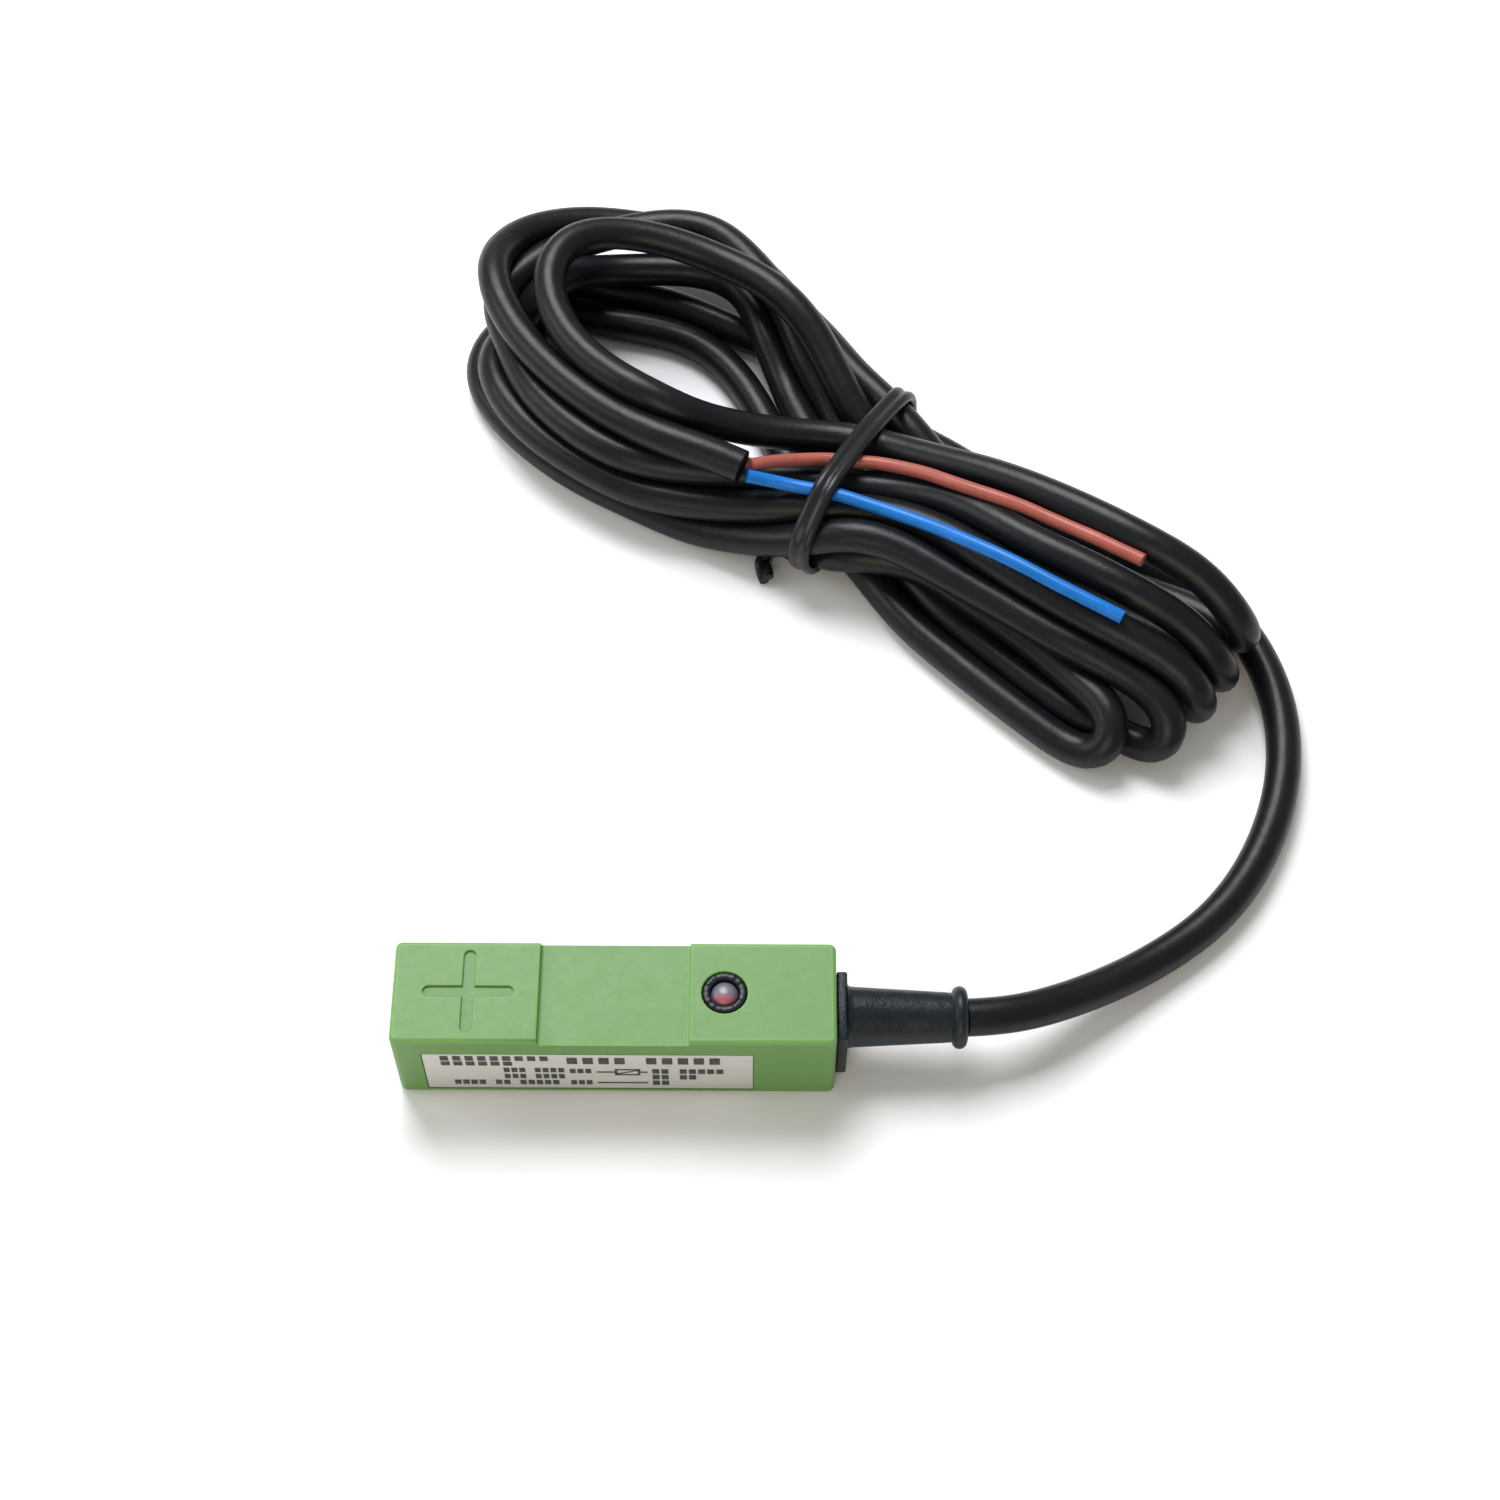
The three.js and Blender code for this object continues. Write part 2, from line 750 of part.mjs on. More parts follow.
// Height of the hank along its length: the lobe with the jacket's end stands highest, the bundle
// is lowest under the tie and rises again over the other lobe, and the tie passes under it.
function hankSide() {
  const reach = 2 * (hank.leftRadius + hank.rightRadius);
  const lift = tie.thickness + softGap;
  const side = new THREE.Shape();
  side.moveTo(-reach, 0);
  side.lineTo(-tieGroove, 0);
  side.lineTo(-tieGroove, lift);
  side.lineTo(tieGroove, lift);
  side.lineTo(tieGroove, 0);
  side.lineTo(reach, 0);
  side.lineTo(reach, hank.rightHeight);
  side.lineTo(hank.slopeEnd, hank.rightHeight);
  side.lineTo(hank.slopeStart, hank.waistHeight);
  side.lineTo(-hank.jacketEnd, hank.waistHeight);
  side.lineTo(-hank.jacketEnd, hank.leftHeight);
  side.lineTo(-reach, hank.leftHeight);
  const depth = 2 * reach;
  return new THREE.ExtrudeGeometry(side, { depth, bevelEnabled: false })
    .rotateX(Math.PI / 2)
    .translate(0, depth / 2, 0)
    .rotateZ(hank.waistAngle)
    .translate(hank.waist.x, hank.waist.y, 0);
}

// The tie's free end lies under the hank and comes out on the near side.
const tailTurn = THREE.MathUtils.degToRad(-150);
const tailStart = waistPoint(0, -hank.waistHalf * 0.55);

function tailBlock(width, height, length) {
  return block([-0.5, -width / 2, 0], [length, width / 2, height])
    .rotateZ(tailTurn)
    .translate(tailStart.x, tailStart.y, 0);
}

// Room for the lead where it runs in under the hank.
function leadNotch() {
  const [last, before] = [leadRoute.at(-1), leadRoute.at(-2)].map((p) => new THREE.Vector3(...p));
  const beyond = last.clone().add(last.clone().sub(before).setLength(softGap));
  const route = [...leadRoute.slice(-5), beyond.toArray()];
  return tube(route, cable.diameter + 4 * softGap, cable.sides, cable.step / 3);
}

function hankSolid() {
  const plan = new THREE.ExtrudeGeometry(hankOutline(), {
    depth: hank.leftHeight,
    bevelEnabled: false,
    curveSegments: 20,
  });
  const tailRoom = tailBlock(
    tie.tailWidth + 2 * softGap,
    tie.thickness + softGap,
    tie.tail + 3 * softGap,
  );
  return cut(common(plan, hankSide()), tailRoom.translate(0, 0, -0.001), leadNotch());
}

piece('cable_hank', hankSolid(), finishes.cable);

piece('brown_wire', tube(brownRoute, wire.diameter, wire.sides, wire.step), finishes.brown);
piece('blue_wire', tube(blueRoute, wire.diameter, wire.sides, wire.step), finishes.blue);

// Height of the wires' top where they pass under the tie.
function wiresUnderTie() {
  const spacing = 3;
  const under = [...brownRoute, ...blueRoute].filter(([x, y]) => {
    const place = new THREE.Vector2(x, y).sub(hank.waist);
    return Math.abs(place.rotateAround(new THREE.Vector2(), -hank.waistAngle).x) < tieGroove + spacing;
  });
  return Math.max(...under.map((point) => point[2])) + wire.diameter / 2;
}

// A plastic-covered band once round the bundle and over the wires.
function twistTie() {
  const inside = {
    width: 2 * (hank.waistHalf + softGap) + tie.slack,
    foot: tie.thickness,
    top: wiresUnderTie() + softGap,
  };
  const height = inside.top - inside.foot;
  const outline = roundedRectangle(
    inside.width + 2 * tie.thickness,
    height + 2 * tie.thickness,
    tie.corner + tie.thickness,
  );
  outline.holes.push(roundedRectangle(inside.width, height, tie.innerCorner));
  const ring = new THREE.ExtrudeGeometry(outline, {
    depth: tie.width,
    bevelEnabled: false,
    curveSegments: 5,
  })
    .translate(0, 0, -tie.width / 2)
    .rotateX(Math.PI / 2)
    .rotateZ(Math.PI / 2 + hank.waistAngle)
    .translate(hank.waist.x, hank.waist.y, (inside.foot + inside.top) / 2);
  return join(ring, tailBlock(tie.tailWidth, tie.thickness, tie.tail));
}

piece('twist_tie', twistTie(), finishes.tie);

export default sensor;
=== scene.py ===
"""Looks for a block-shaped inductive proximity sensor and its cable, tied up in a hank.

Lengths are written in metres, or in millimetres times MM. The part's own frame has its origin at the
centre of the housing's base, +X towards the cable and +Z up.
"""

import json
import math

import bmesh
import bpy
import numpy as np
from mathutils import Matrix, Vector

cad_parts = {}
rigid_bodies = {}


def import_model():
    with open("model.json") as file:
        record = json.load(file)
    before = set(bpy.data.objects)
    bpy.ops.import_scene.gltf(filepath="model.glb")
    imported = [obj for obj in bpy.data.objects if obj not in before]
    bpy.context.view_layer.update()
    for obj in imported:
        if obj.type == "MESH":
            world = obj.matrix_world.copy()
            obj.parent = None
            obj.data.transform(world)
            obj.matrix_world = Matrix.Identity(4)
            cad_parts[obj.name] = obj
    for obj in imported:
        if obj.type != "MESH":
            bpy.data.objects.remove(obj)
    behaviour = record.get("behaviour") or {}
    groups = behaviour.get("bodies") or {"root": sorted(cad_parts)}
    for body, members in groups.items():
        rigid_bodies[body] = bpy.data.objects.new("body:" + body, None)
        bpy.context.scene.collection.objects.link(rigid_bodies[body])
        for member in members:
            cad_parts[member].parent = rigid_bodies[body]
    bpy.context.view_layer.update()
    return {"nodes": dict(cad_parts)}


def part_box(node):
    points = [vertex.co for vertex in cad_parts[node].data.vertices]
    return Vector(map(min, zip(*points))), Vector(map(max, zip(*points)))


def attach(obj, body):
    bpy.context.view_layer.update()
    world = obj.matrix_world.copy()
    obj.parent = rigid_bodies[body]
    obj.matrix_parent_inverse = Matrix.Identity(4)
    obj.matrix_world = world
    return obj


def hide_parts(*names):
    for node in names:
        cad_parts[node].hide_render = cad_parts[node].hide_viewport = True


bl_info = {
    "name": "Proximity sensor with cable",
    "version": (1, 0, 0),
    "blender": (4, 5, 0),
    "location": "View3D > Sidebar > Sensor",
    "description": "Builds a proximity sensor, its label, lamp, strain relief, cable hank and tie",
    "category": "Object",
}

for leftover in list(bpy.data.objects):
    bpy.data.objects.remove(leftover)

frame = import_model()
MM = 0.001
BODY = "root"
HOUSING_LOW, HOUSING_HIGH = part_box("housing_shell")
LABEL_LOW, LABEL_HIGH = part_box("rating_label")
LAMP_LOW, LAMP_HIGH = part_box("indicator_lamp")
SEAL_LOW, SEAL_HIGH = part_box("lamp_seal_ring")
RELIEF_LOW, RELIEF_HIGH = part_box("strain_relief_boot")
INNER_LOW, INNER_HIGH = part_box("cable_inner_end")

# ---------------------------------------------------------------- shader expressions


class Term:
    """A socket that can be added, multiplied and so on."""

    def __init__(self, finish, socket):
        self.finish = finish
        self.socket = socket

    def _maths(self, operation, first, second, clamp=False):
        made = self.finish.node(
            "ShaderNodeMath", {"operation": operation, "use_clamp": clamp}, {0: first, 1: second}
        )
        return Term(self.finish, made.outputs[0])

    def __add__(self, other):
        return self._maths("ADD", self, other)

    def __radd__(self, other):
        return self._maths("ADD", other, self)

    def __sub__(self, other):
        return self._maths("SUBTRACT", self, other)

    def __rsub__(self, other):
        return self._maths("SUBTRACT", other, self)

    def __mul__(self, other):
        return self._maths("MULTIPLY", self, other)

    def __rmul__(self, other):
        return self._maths("MULTIPLY", other, self)

    def __truediv__(self, other):
        return self._maths("DIVIDE", self, other)

    def above(self, other):
        return self._maths("GREATER_THAN", self, other)

    def clamped(self):
        return self._maths("ADD", self, 0.0, clamp=True)


class Finish:
    """One material and its nodes."""

    def __init__(self, name):
        self.material = bpy.data.materials.new(name)
        self.material.use_nodes = True
        self.tree = self.material.node_tree
        self.shader = self.tree.nodes["Principled BSDF"]
        self.place = self.node("ShaderNodeTexCoord").outputs["Object"]

    def node(self, kind, settings=None, inputs=None):
        made = self.tree.nodes.new(kind)
        for key, value in (settings or {}).items():
            if key == "stops":
                self._set_stops(made.color_ramp, value)
            else:
                setattr(made, key, value)
        for key, value in (inputs or {}).items():
            self.link(value, made.inputs[key])
        return made

    @staticmethod
    def _set_stops(ramp, stops):
        while len(ramp.elements) < len(stops):
            ramp.elements.new(1.0)
        for element, (position, shade) in zip(ramp.elements, stops):
            element.position = position
            element.color = (*shade, 1.0) if hasattr(shade, "__len__") else (shade, shade, shade, 1.0)

    def link(self, value, socket):
        if isinstance(value, Term):
            value = value.socket
        if isinstance(value, bpy.types.NodeSocket):
            self.tree.links.new(value, socket)
        elif hasattr(value, "__len__") and len(value) == 3 and socket.type == "RGBA":
            socket.default_value = (*value, 1.0)
        else:
            socket.default_value = value

    def term(self, socket):
        return Term(self, socket)

    def axis(self, name):
        split = self.node("ShaderNodeSeparateXYZ", inputs={0: self.place})
        return self.term(split.outputs[name])

    def attribute(self, name):
        made = self.node("ShaderNodeAttribute", {"attribute_name": name})
        return self.term(made.outputs["Fac"])

    def noise(self, scale, detail=3.0, roughness=0.5, stretch=None):
        place = self.place
        if stretch is not None:
            place = self.node("ShaderNodeMapping", inputs={"Vector": place, "Scale": stretch}).outputs[0]
        made = self.node(
            "ShaderNodeTexNoise",
            inputs={"Vector": place, "Scale": scale, "Detail": detail, "Roughness": roughness},
        )
        return self.term(made.outputs["Fac"])

    def ramp(self, factor, stops):
        made = self.node("ShaderNodeValToRGB", {"stops": stops}, {0: factor})
        return made.outputs["Color"]

    def blend(self, factor, first, second):
        made = self.node("ShaderNodeMix", {"data_type": "RGBA"}, {0: factor, 6: first, 7: second})
        return made.outputs[2]

    def bump(self, height, distance, strength=1.0):
        made = self.node(
            "ShaderNodeBump", inputs={"Strength": strength, "Distance": distance, "Height": height}
        )
        self.link(made.outputs[0], self.shader.inputs["Normal"])

    def set(self, **values):
        for key, value in values.items():
            self.link(value, self.shader.inputs[key.replace("_", " ")])


def linear(colour):
    """Linear light from a colour given as 0-255 screen values."""
    out = []
    for level in colour:
        share = level / 255.0
        out.append(share / 12.92 if share <= 0.04045 else ((share + 0.055) / 1.055) ** 2.4)
    return tuple(out)


# ---------------------------------------------------------------- finishes


def moulded_plastic(name, colour, roughness=0.42, grain=9000.0):
    """Injection-moulded plastic: faint clouding, a fine grain, a painted highlight on rounded outer edges and
    painted shade in grooves.
    """
    finish = Finish(name)
    cloud = finish.noise(120.0, 4.0)
    shade = tuple(channel * 0.86 for channel in colour)
    body = finish.blend(cloud.clamped(), shade, colour)
    # Painted highlight: a lighter colour for rounded edges. Painted shade: a darker colour for grooves.
    rubbed = tuple(channel * 1.3 + 0.02 for channel in colour)
    groove_shade_colour = tuple(channel * 0.42 for channel in colour)
    body = finish.blend(finish.attribute("rubbed") * 0.7, body, rubbed)
    body = finish.blend(finish.attribute("grimy") * 0.85, body, groove_shade_colour)
    finish.set(Base_Color=body, Specular_IOR_Level=0.38)
    finish.set(Roughness=roughness - 0.06 + 0.12 * finish.noise(700.0, 2.0))
    finish.bump(finish.noise(grain, 2.0) + 0.8 * finish.noise(grain * 0.2, 3.0), 0.00003, 0.5)
    return finish.material


def soft_vinyl(name, colour, roughness, haze=0.12, ripple=0.00012):
    """Extruded soft vinyl: smooth, with slow waviness, specks and a dusty haze."""
    finish = Finish(name)
    dust = finish.noise(260.0, 5.0, 0.6)
    pale = tuple(channel * 1.6 + 0.004 for channel in colour)
    finish.set(Base_Color=finish.blend((dust - 0.35).clamped(), colour, pale), Specular_IOR_Level=0.23)
    finish.set(Roughness=(roughness + haze * (finish.noise(900.0, 4.0) - 0.5)).clamped())
    finish.bump(finish.noise(420.0, 3.0) + 0.25 * finish.noise(3500.0, 2.0), ripple, 0.5)
    return finish.material


def label_foil(colour):
    """Aluminised polyester: grey, satin, with faint roller lines."""
    finish = Finish("label_foil_satin")
    lines = finish.noise(900.0, 2.0, stretch=(0.1, 1.0, 3.0))
    finish.set(Base_Color=finish.blend(lines, tuple(c * 0.82 for c in colour), colour))
    finish.set(Roughness=0.36 + 0.14 * finish.noise(500.0), Metallic=0.15)
    finish.bump(lines, 0.00001, 0.4)
    return finish.material


def printing_ink(colour):
    """Thermal-transfer ink: dense black with a slightly uneven edge of grey."""
    finish = Finish("label_ink_and_painted_shadow")
    wear = finish.noise(2600.0, 3.0)
    finish.set(Base_Color=finish.blend((wear - 0.42).clamped(), colour, (0.2, 0.2, 0.2)))
    finish.set(Roughness=0.4 + 0.2 * wear)
    return finish.material


def lamp_glass(milk, glow):
    """Water-clear epoxy seen over its die cup: milky lavender, red towards the near side."""
    finish = Finish("lamp_epoxy_tinted")
    centre = (LAMP_LOW + LAMP_HIGH) / 2
    across = finish.axis("Y") - centre.y
    along = finish.axis("X") - centre.x
    radius = finish.node("ShaderNodeMath", {"operation": "SQRT"}, {0: across * across + along * along})
    radius = finish.term(radius.outputs[0])
    rings = finish.ramp(
        radius / 0.0017,
        [(0.0, (0.34, 0.32, 0.38)), (0.26, (0.18, 0.16, 0.21)), (0.5, (0.20, 0.18, 0.23)),
         (0.72, (0.14, 0.12, 0.16)), (0.88, (0.24, 0.21, 0.24)), (1.0, (0.09, 0.07, 0.09))],
    )
    red = (((-0.00015 - across) / 0.0006).clamped()) * ((1.0 - radius / 0.0016) * 3.0).clamped()
    cloudy = finish.blend(0.45, rings, milk)
    finish.set(Base_Color=finish.blend(red * 0.75, cloudy, glow))
    finish.set(Roughness=0.34 + 0.12 * finish.noise(1500.0), Coat_Weight=0.2)
    finish.shader.inputs["Coat Roughness"].default_value = 0.08
    finish.bump(finish.noise(1800.0, 2.0), 0.00004, 0.4)
    return finish.material


def worked_metal(name, colour, roughness, scale=1500.0):
    """Plated or drawn metal with fine streaks."""
    finish = Finish(name)
    streak = finish.noise(scale, 3.0, stretch=(0.2, 1.0, 1.0))
    finish.set(Base_Color=finish.blend(streak, tuple(c * 0.7 for c in colour), colour))
    finish.set(Metallic=1.0, Roughness=roughness - 0.08 + 0.16 * streak)
    finish.bump(streak, 0.00001, 0.4)
    return finish.material


def wound_copper(colour, pitch):
    """Enamelled winding wire lying side by side."""
    finish = Finish("coil_winding_copper")
    layer = finish.node("ShaderNodeMath", {"operation": "SINE"}, {0: finish.axis("Z") * (math.tau / pitch)})
    layer = finish.term(layer.outputs[0]) * 0.5 + 0.5
    # Darker bands between the turns are painted shade between the wires. The same bands also drive the bump.
    finish.set(Base_Color=finish.blend(layer, tuple(c * 0.45 for c in colour), colour))
    finish.set(Metallic=0.9, Roughness=0.25 + 0.15 * finish.noise(2500.0))
    finish.bump(layer, 0.00008, 0.8)
    return finish.material


def fired_ceramic(name, colour, roughness, fleck):
    """Pressed and fired powder: ferrite, capacitor and resistor bodies."""
    finish = Finish(name)
    speck = finish.noise(5200.0, 4.0, 0.7)
    finish.set(Base_Color=finish.blend((speck - 0.4).clamped(), colour, fleck))
    finish.set(Roughness=roughness + 0.15 * finish.noise(1800.0))
    finish.bump(speck, 0.00003, 0.6)
    return finish.material


def board_mask(colour, copper):
    """Solder mask over tracks."""
    finish = Finish("board_laminate_mask")
    wave = finish.node(
        "ShaderNodeTexWave",
        {"wave_type": "BANDS", "bands_direction": "Y"},
        {"Vector": finish.place, "Scale": 260.0, "Distortion": 2.0, "Detail": 1.0},
    )
    track = finish.term(wave.outputs["Fac"]).above(0.82)
    finish.set(Base_Color=finish.blend(track * 0.6, colour, copper))
    finish.set(Roughness=0.3 + 0.2 * finish.noise(900.0))
    finish.bump(track, 0.00003, 0.7)
    return finish.material


def cast_resin(colour):
    """Poured resin with trapped bubbles."""
    finish = Finish("casting_resin_poured")
    cells = finish.node("ShaderNodeTexVoronoi", inputs={"Vector": finish.place, "Scale": 900.0})
    bubble = (0.3 - finish.term(cells.outputs["Distance"])).clamped() * 3.0
    finish.set(Base_Color=finish.blend(bubble.clamped(), colour, tuple(c * 1.5 + 0.01 for c in colour)))
    finish.set(Roughness=0.25 + 0.2 * finish.noise(700.0))
    finish.bump(bubble, 0.00005, 0.5)
    return finish.material


# ---------------------------------------------------------------- making pieces


def ride_along(piece, stands_for):
    """Links a piece to the scene, on the part's body, and hides the nodes it stands for."""
    bpy.context.scene.collection.objects.link(piece)
    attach(piece, BODY)
    if stands_for:
        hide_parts(*stands_for)
    return piece


def add_piece(name, mesh, finish, stands_for=()):
    """A finished mesh as a piece of the part."""
    mesh.materials.clear()
    mesh.materials.append(finish)
    return ride_along(bpy.data.objects.new(name, mesh), stands_for)


def close_mesh(bm, name, sharp=35.0, recalculate=True):
    """Merges doubles, points the faces outwards and shades smooth up to an angle."""
    bmesh.ops.remove_doubles(bm, verts=bm.verts, dist=1e-7)
    if recalculate:
        bmesh.ops.recalc_face_normals(bm, faces=bm.faces)
    for face in bm.faces:
        face.smooth = True
    for edge in bm.edges:
        edge.smooth = len(edge.link_faces) == 2 and edge.calc_face_angle(0.0) < math.radians(sharp)
    mesh = bpy.data.meshes.new(name)
    bm.to_mesh(mesh)
    bm.free()
    return mesh


def spun(bm, profile, centre, axis, steps):
    """Turns a profile of (radius, height) points about an axis."""
    up = Vector(axis)
    side = Vector((0, 1, 0)) if abs(up.y) < 0.5 else Vector((1, 0, 0))
    verts = [bm.verts.new(centre + side * r + up * h) for r, h in profile]
    edges = [bm.edges.new(pair) for pair in zip(verts, verts[1:])]
    bmesh.ops.spin(
        bm, geom=verts + edges, cent=centre, axis=up, angle=math.tau, steps=steps, use_merge=True
    )


def box_between(bm, low, high, bevel=0.0, segments=2):
    verts = bmesh.ops.create_cube(bm, size=1.0)["verts"]
    size = Vector(high) - Vector(low)
    bmesh.ops.scale(bm, verts=verts, vec=size)
    bmesh.ops.translate(bm, verts=verts, vec=(Vector(low) + Vector(high)) / 2)
    if bevel:
        edges = list({edge for vert in verts for edge in vert.link_edges})
        bmesh.ops.bevel(
            bm, geom=edges, offset=bevel, affect="EDGES", segments=segments, profile=0.5, material=-1
        )


def poly_spline(curve, points, closed=False):
    """One spline along the points."""
    spline = curve.splines.new("POLY")
    spline.points.add(len(points) - 1)
    spline.points.foreach_set("co", np.c_[points, np.ones(len(points))].ravel())
    spline.use_cyclic_u = closed
    return spline


def strand(name, points, radius, finish, stands_for):
    """A cord: one open spline along the points, with the cord's own thickness."""
    curve = bpy.data.curves.new(name, "CURVE")
    curve.dimensions = "3D"
    curve.bevel_depth = radius
    curve.bevel_resolution = 6
    curve.use_fill_caps = True
    poly_spline(curve, points).use_smooth = True
    curve.materials.append(finish)
    return ride_along(bpy.data.objects.new(name, curve), stands_for)


def swept_mesh(name, points, profile, closed, turns=0.0):
    """A profile swept along points that lie near the XY plane, as a mesh."""
    section = bpy.data.curves.new(name + "_section", "CURVE")
    section.dimensions = "2D"
    poly_spline(section, np.c_[profile, np.zeros(len(profile))], True)
    section_piece = bpy.data.objects.new(name + "_section", section)
    bpy.context.scene.collection.objects.link(section_piece)
    route = bpy.data.curves.new(name + "_route", "CURVE")
    route.dimensions = "3D"
    route.twist_mode = "Z_UP"
    route.bevel_mode = "OBJECT"
    route.bevel_object = section_piece
    route.use_fill_caps = not closed
    spline = poly_spline(route, points, closed)
    spline.points.foreach_set("tilt", np.linspace(0.0, turns * math.tau, len(points)))
    route_piece = bpy.data.objects.new(name + "_route", route)
    bpy.context.scene.collection.objects.link(route_piece)
    bpy.context.view_layer.update()
    posed = route_piece.evaluated_get(bpy.context.evaluated_depsgraph_get())
    mesh = bpy.data.meshes.new_from_object(posed)
    for helper in (route_piece, section_piece):
        bpy.data.objects.remove(helper)
    return mesh


# ---------------------------------------------------------------- lines through points


def through(points, steps):
    """A smooth line through the points (a centripetal Catmull-Rom spline)."""
    points = [np.asarray(point, float) for point in points]
    padded = [2 * points[0] - points[1], *points, 2 * points[-1] - points[-2]]
    line = []
    for a, b, c, d in zip(padded, padded[1:], padded[2:], padded[3:]):
        t1 = np.linalg.norm(b - a) ** 0.5
        t2 = t1 + np.linalg.norm(c - b) ** 0.5
        t3 = t2 + np.linalg.norm(d - c) ** 0.5
        for t in np.linspace(t1, t2, steps, endpoint=False):
            ab = ((t1 - t) * a + t * b) / t1
            bc = ((t2 - t) * b + (t - t1) * c) / (t2 - t1)
            cd = ((t3 - t) * c + (t - t2) * d) / (t3 - t2)
            abc = ((t2 - t) * ab + t * bc) / t2
            bcd = ((t3 - t) * bc + (t - t1) * cd) / (t3 - t1)
            line.append(((t2 - t) * abc + (t - t1) * bcd) / (t2 - t1))
    line.append(points[-1])
    return np.array(line)


def evenly(line, step):
    """The same line with its points an even step apart."""
    reach = np.concatenate([[0.0], np.cumsum(np.linalg.norm(np.diff(line, axis=0), axis=1))])
    count = int(round(reach[-1] / step)) + 1
    places = np.linspace(0.0, reach[-1], count)
    return np.stack([np.interp(places, reach, line[:, k]) for k in range(3)], axis=1)


def relaxed(line, rounds):
    """The line with small unevenness smoothed out and its ends kept."""
    line = line.copy()
    for _ in range(rounds):
        line[1:-1] = (line[:-2] + 2 * line[1:-1] + line[2:]) / 4
    return line


# ---------------------------------------------------------------- the cable's way round the hank

# From the strain relief to the hank, on the table (metres).
LEAD_ROUTE = [
    (0.0389, 0.0, 0.0069), (0.0424, 0.0002, 0.0068), (0.0460, 0.0013, 0.0060),
    (0.0498, 0.0031, 0.0048), (0.0534, 0.0050, 0.0037), (0.0569, 0.0070, 0.0028),
    (0.0602, 0.0091, 0.0023), (0.0634, 0.0113, 0.0021), (0.0665, 0.0136, 0.0021),
    (0.0694, 0.0166, 0.0021), (0.0719, 0.0199, 0.0021), (0.0739, 0.0234, 0.0021),
    (0.0755, 0.0269, 0.0021), (0.0768, 0.0306, 0.0021), (0.0777, 0.0344, 0.0021),
    (0.0782, 0.0384, 0.0021), (0.0782, 0.0424, 0.0021), (0.0777, 0.0464, 0.0021),
    (0.0766, 0.0502, 0.0021),
]

# The first pass back to the waist runs on the table, behind all the others.
FIRST_PASS = [(73.2, 55.0, 2.1), (66.5, 60.6, 2.1), (56.5, 66.9, 2.1), (46.5, 73.2, 2.1), (39.2, 80.4, 2.1)]

WAIST = Vector((28.5, 75.5))          # where the tie holds the hank
WAIST_ANGLE = math.radians(-16.2)

# Each turn's big loop, in the order they were wound: the oval's centre, half length, half width and
# tilt, the angles where the cable joins and leaves it, its height at the far side, the end and the
# near side, and where (across, height) it passes the waist below and above the other strands.
BIG_LOOPS = [
    {"centre": (4.0, 95.2), "half": (19.5, 9.8), "tilt": 150, "span": (96, -96),
     "heights": (2.1, 2.1, 2.1), "below": (11.6, 2.1), "above": (-11.2, 3.4)},
    {"centre": (5.0, 85.4), "half": (28.6, 13.4), "tilt": 151, "span": (84, -98),
     "heights": (2.1, 2.1, 2.1), "below": (-8.6, 2.1), "above": (-12.7, 6.8)},
    {"centre": (7.4, 89.0), "half": (26.9, 17.6), "tilt": 158, "span": (88, -100),
     "heights": (6.3, 7.4, 6.0), "below": (-3.4, 2.4), "above": (-9.4, 9.2)},
    {"centre": (6.5, 92.0), "half": (25.0, 18.8), "tilt": 150, "span": (76, -98),
     "heights": (11.0, 8.5, 9.5), "below": (1.4, 2.6), "above": (-4.4, 8.2)},
    {"centre": (7.6, 91.0), "half": (21.0, 12.7), "tilt": 146, "span": (104, -100),
     "heights": (12.4, 17.0, 14.8), "below": (6.0, 4.6), "above": (2.5, 8.8)},
    {"centre": (11.9, 91.9), "half": (33.0, 18.8), "tilt": 151, "span": (70, -100),
     "heights": (4.0, 11.4, 13.4), "below": (9.6, 6.3), "above": None},
]

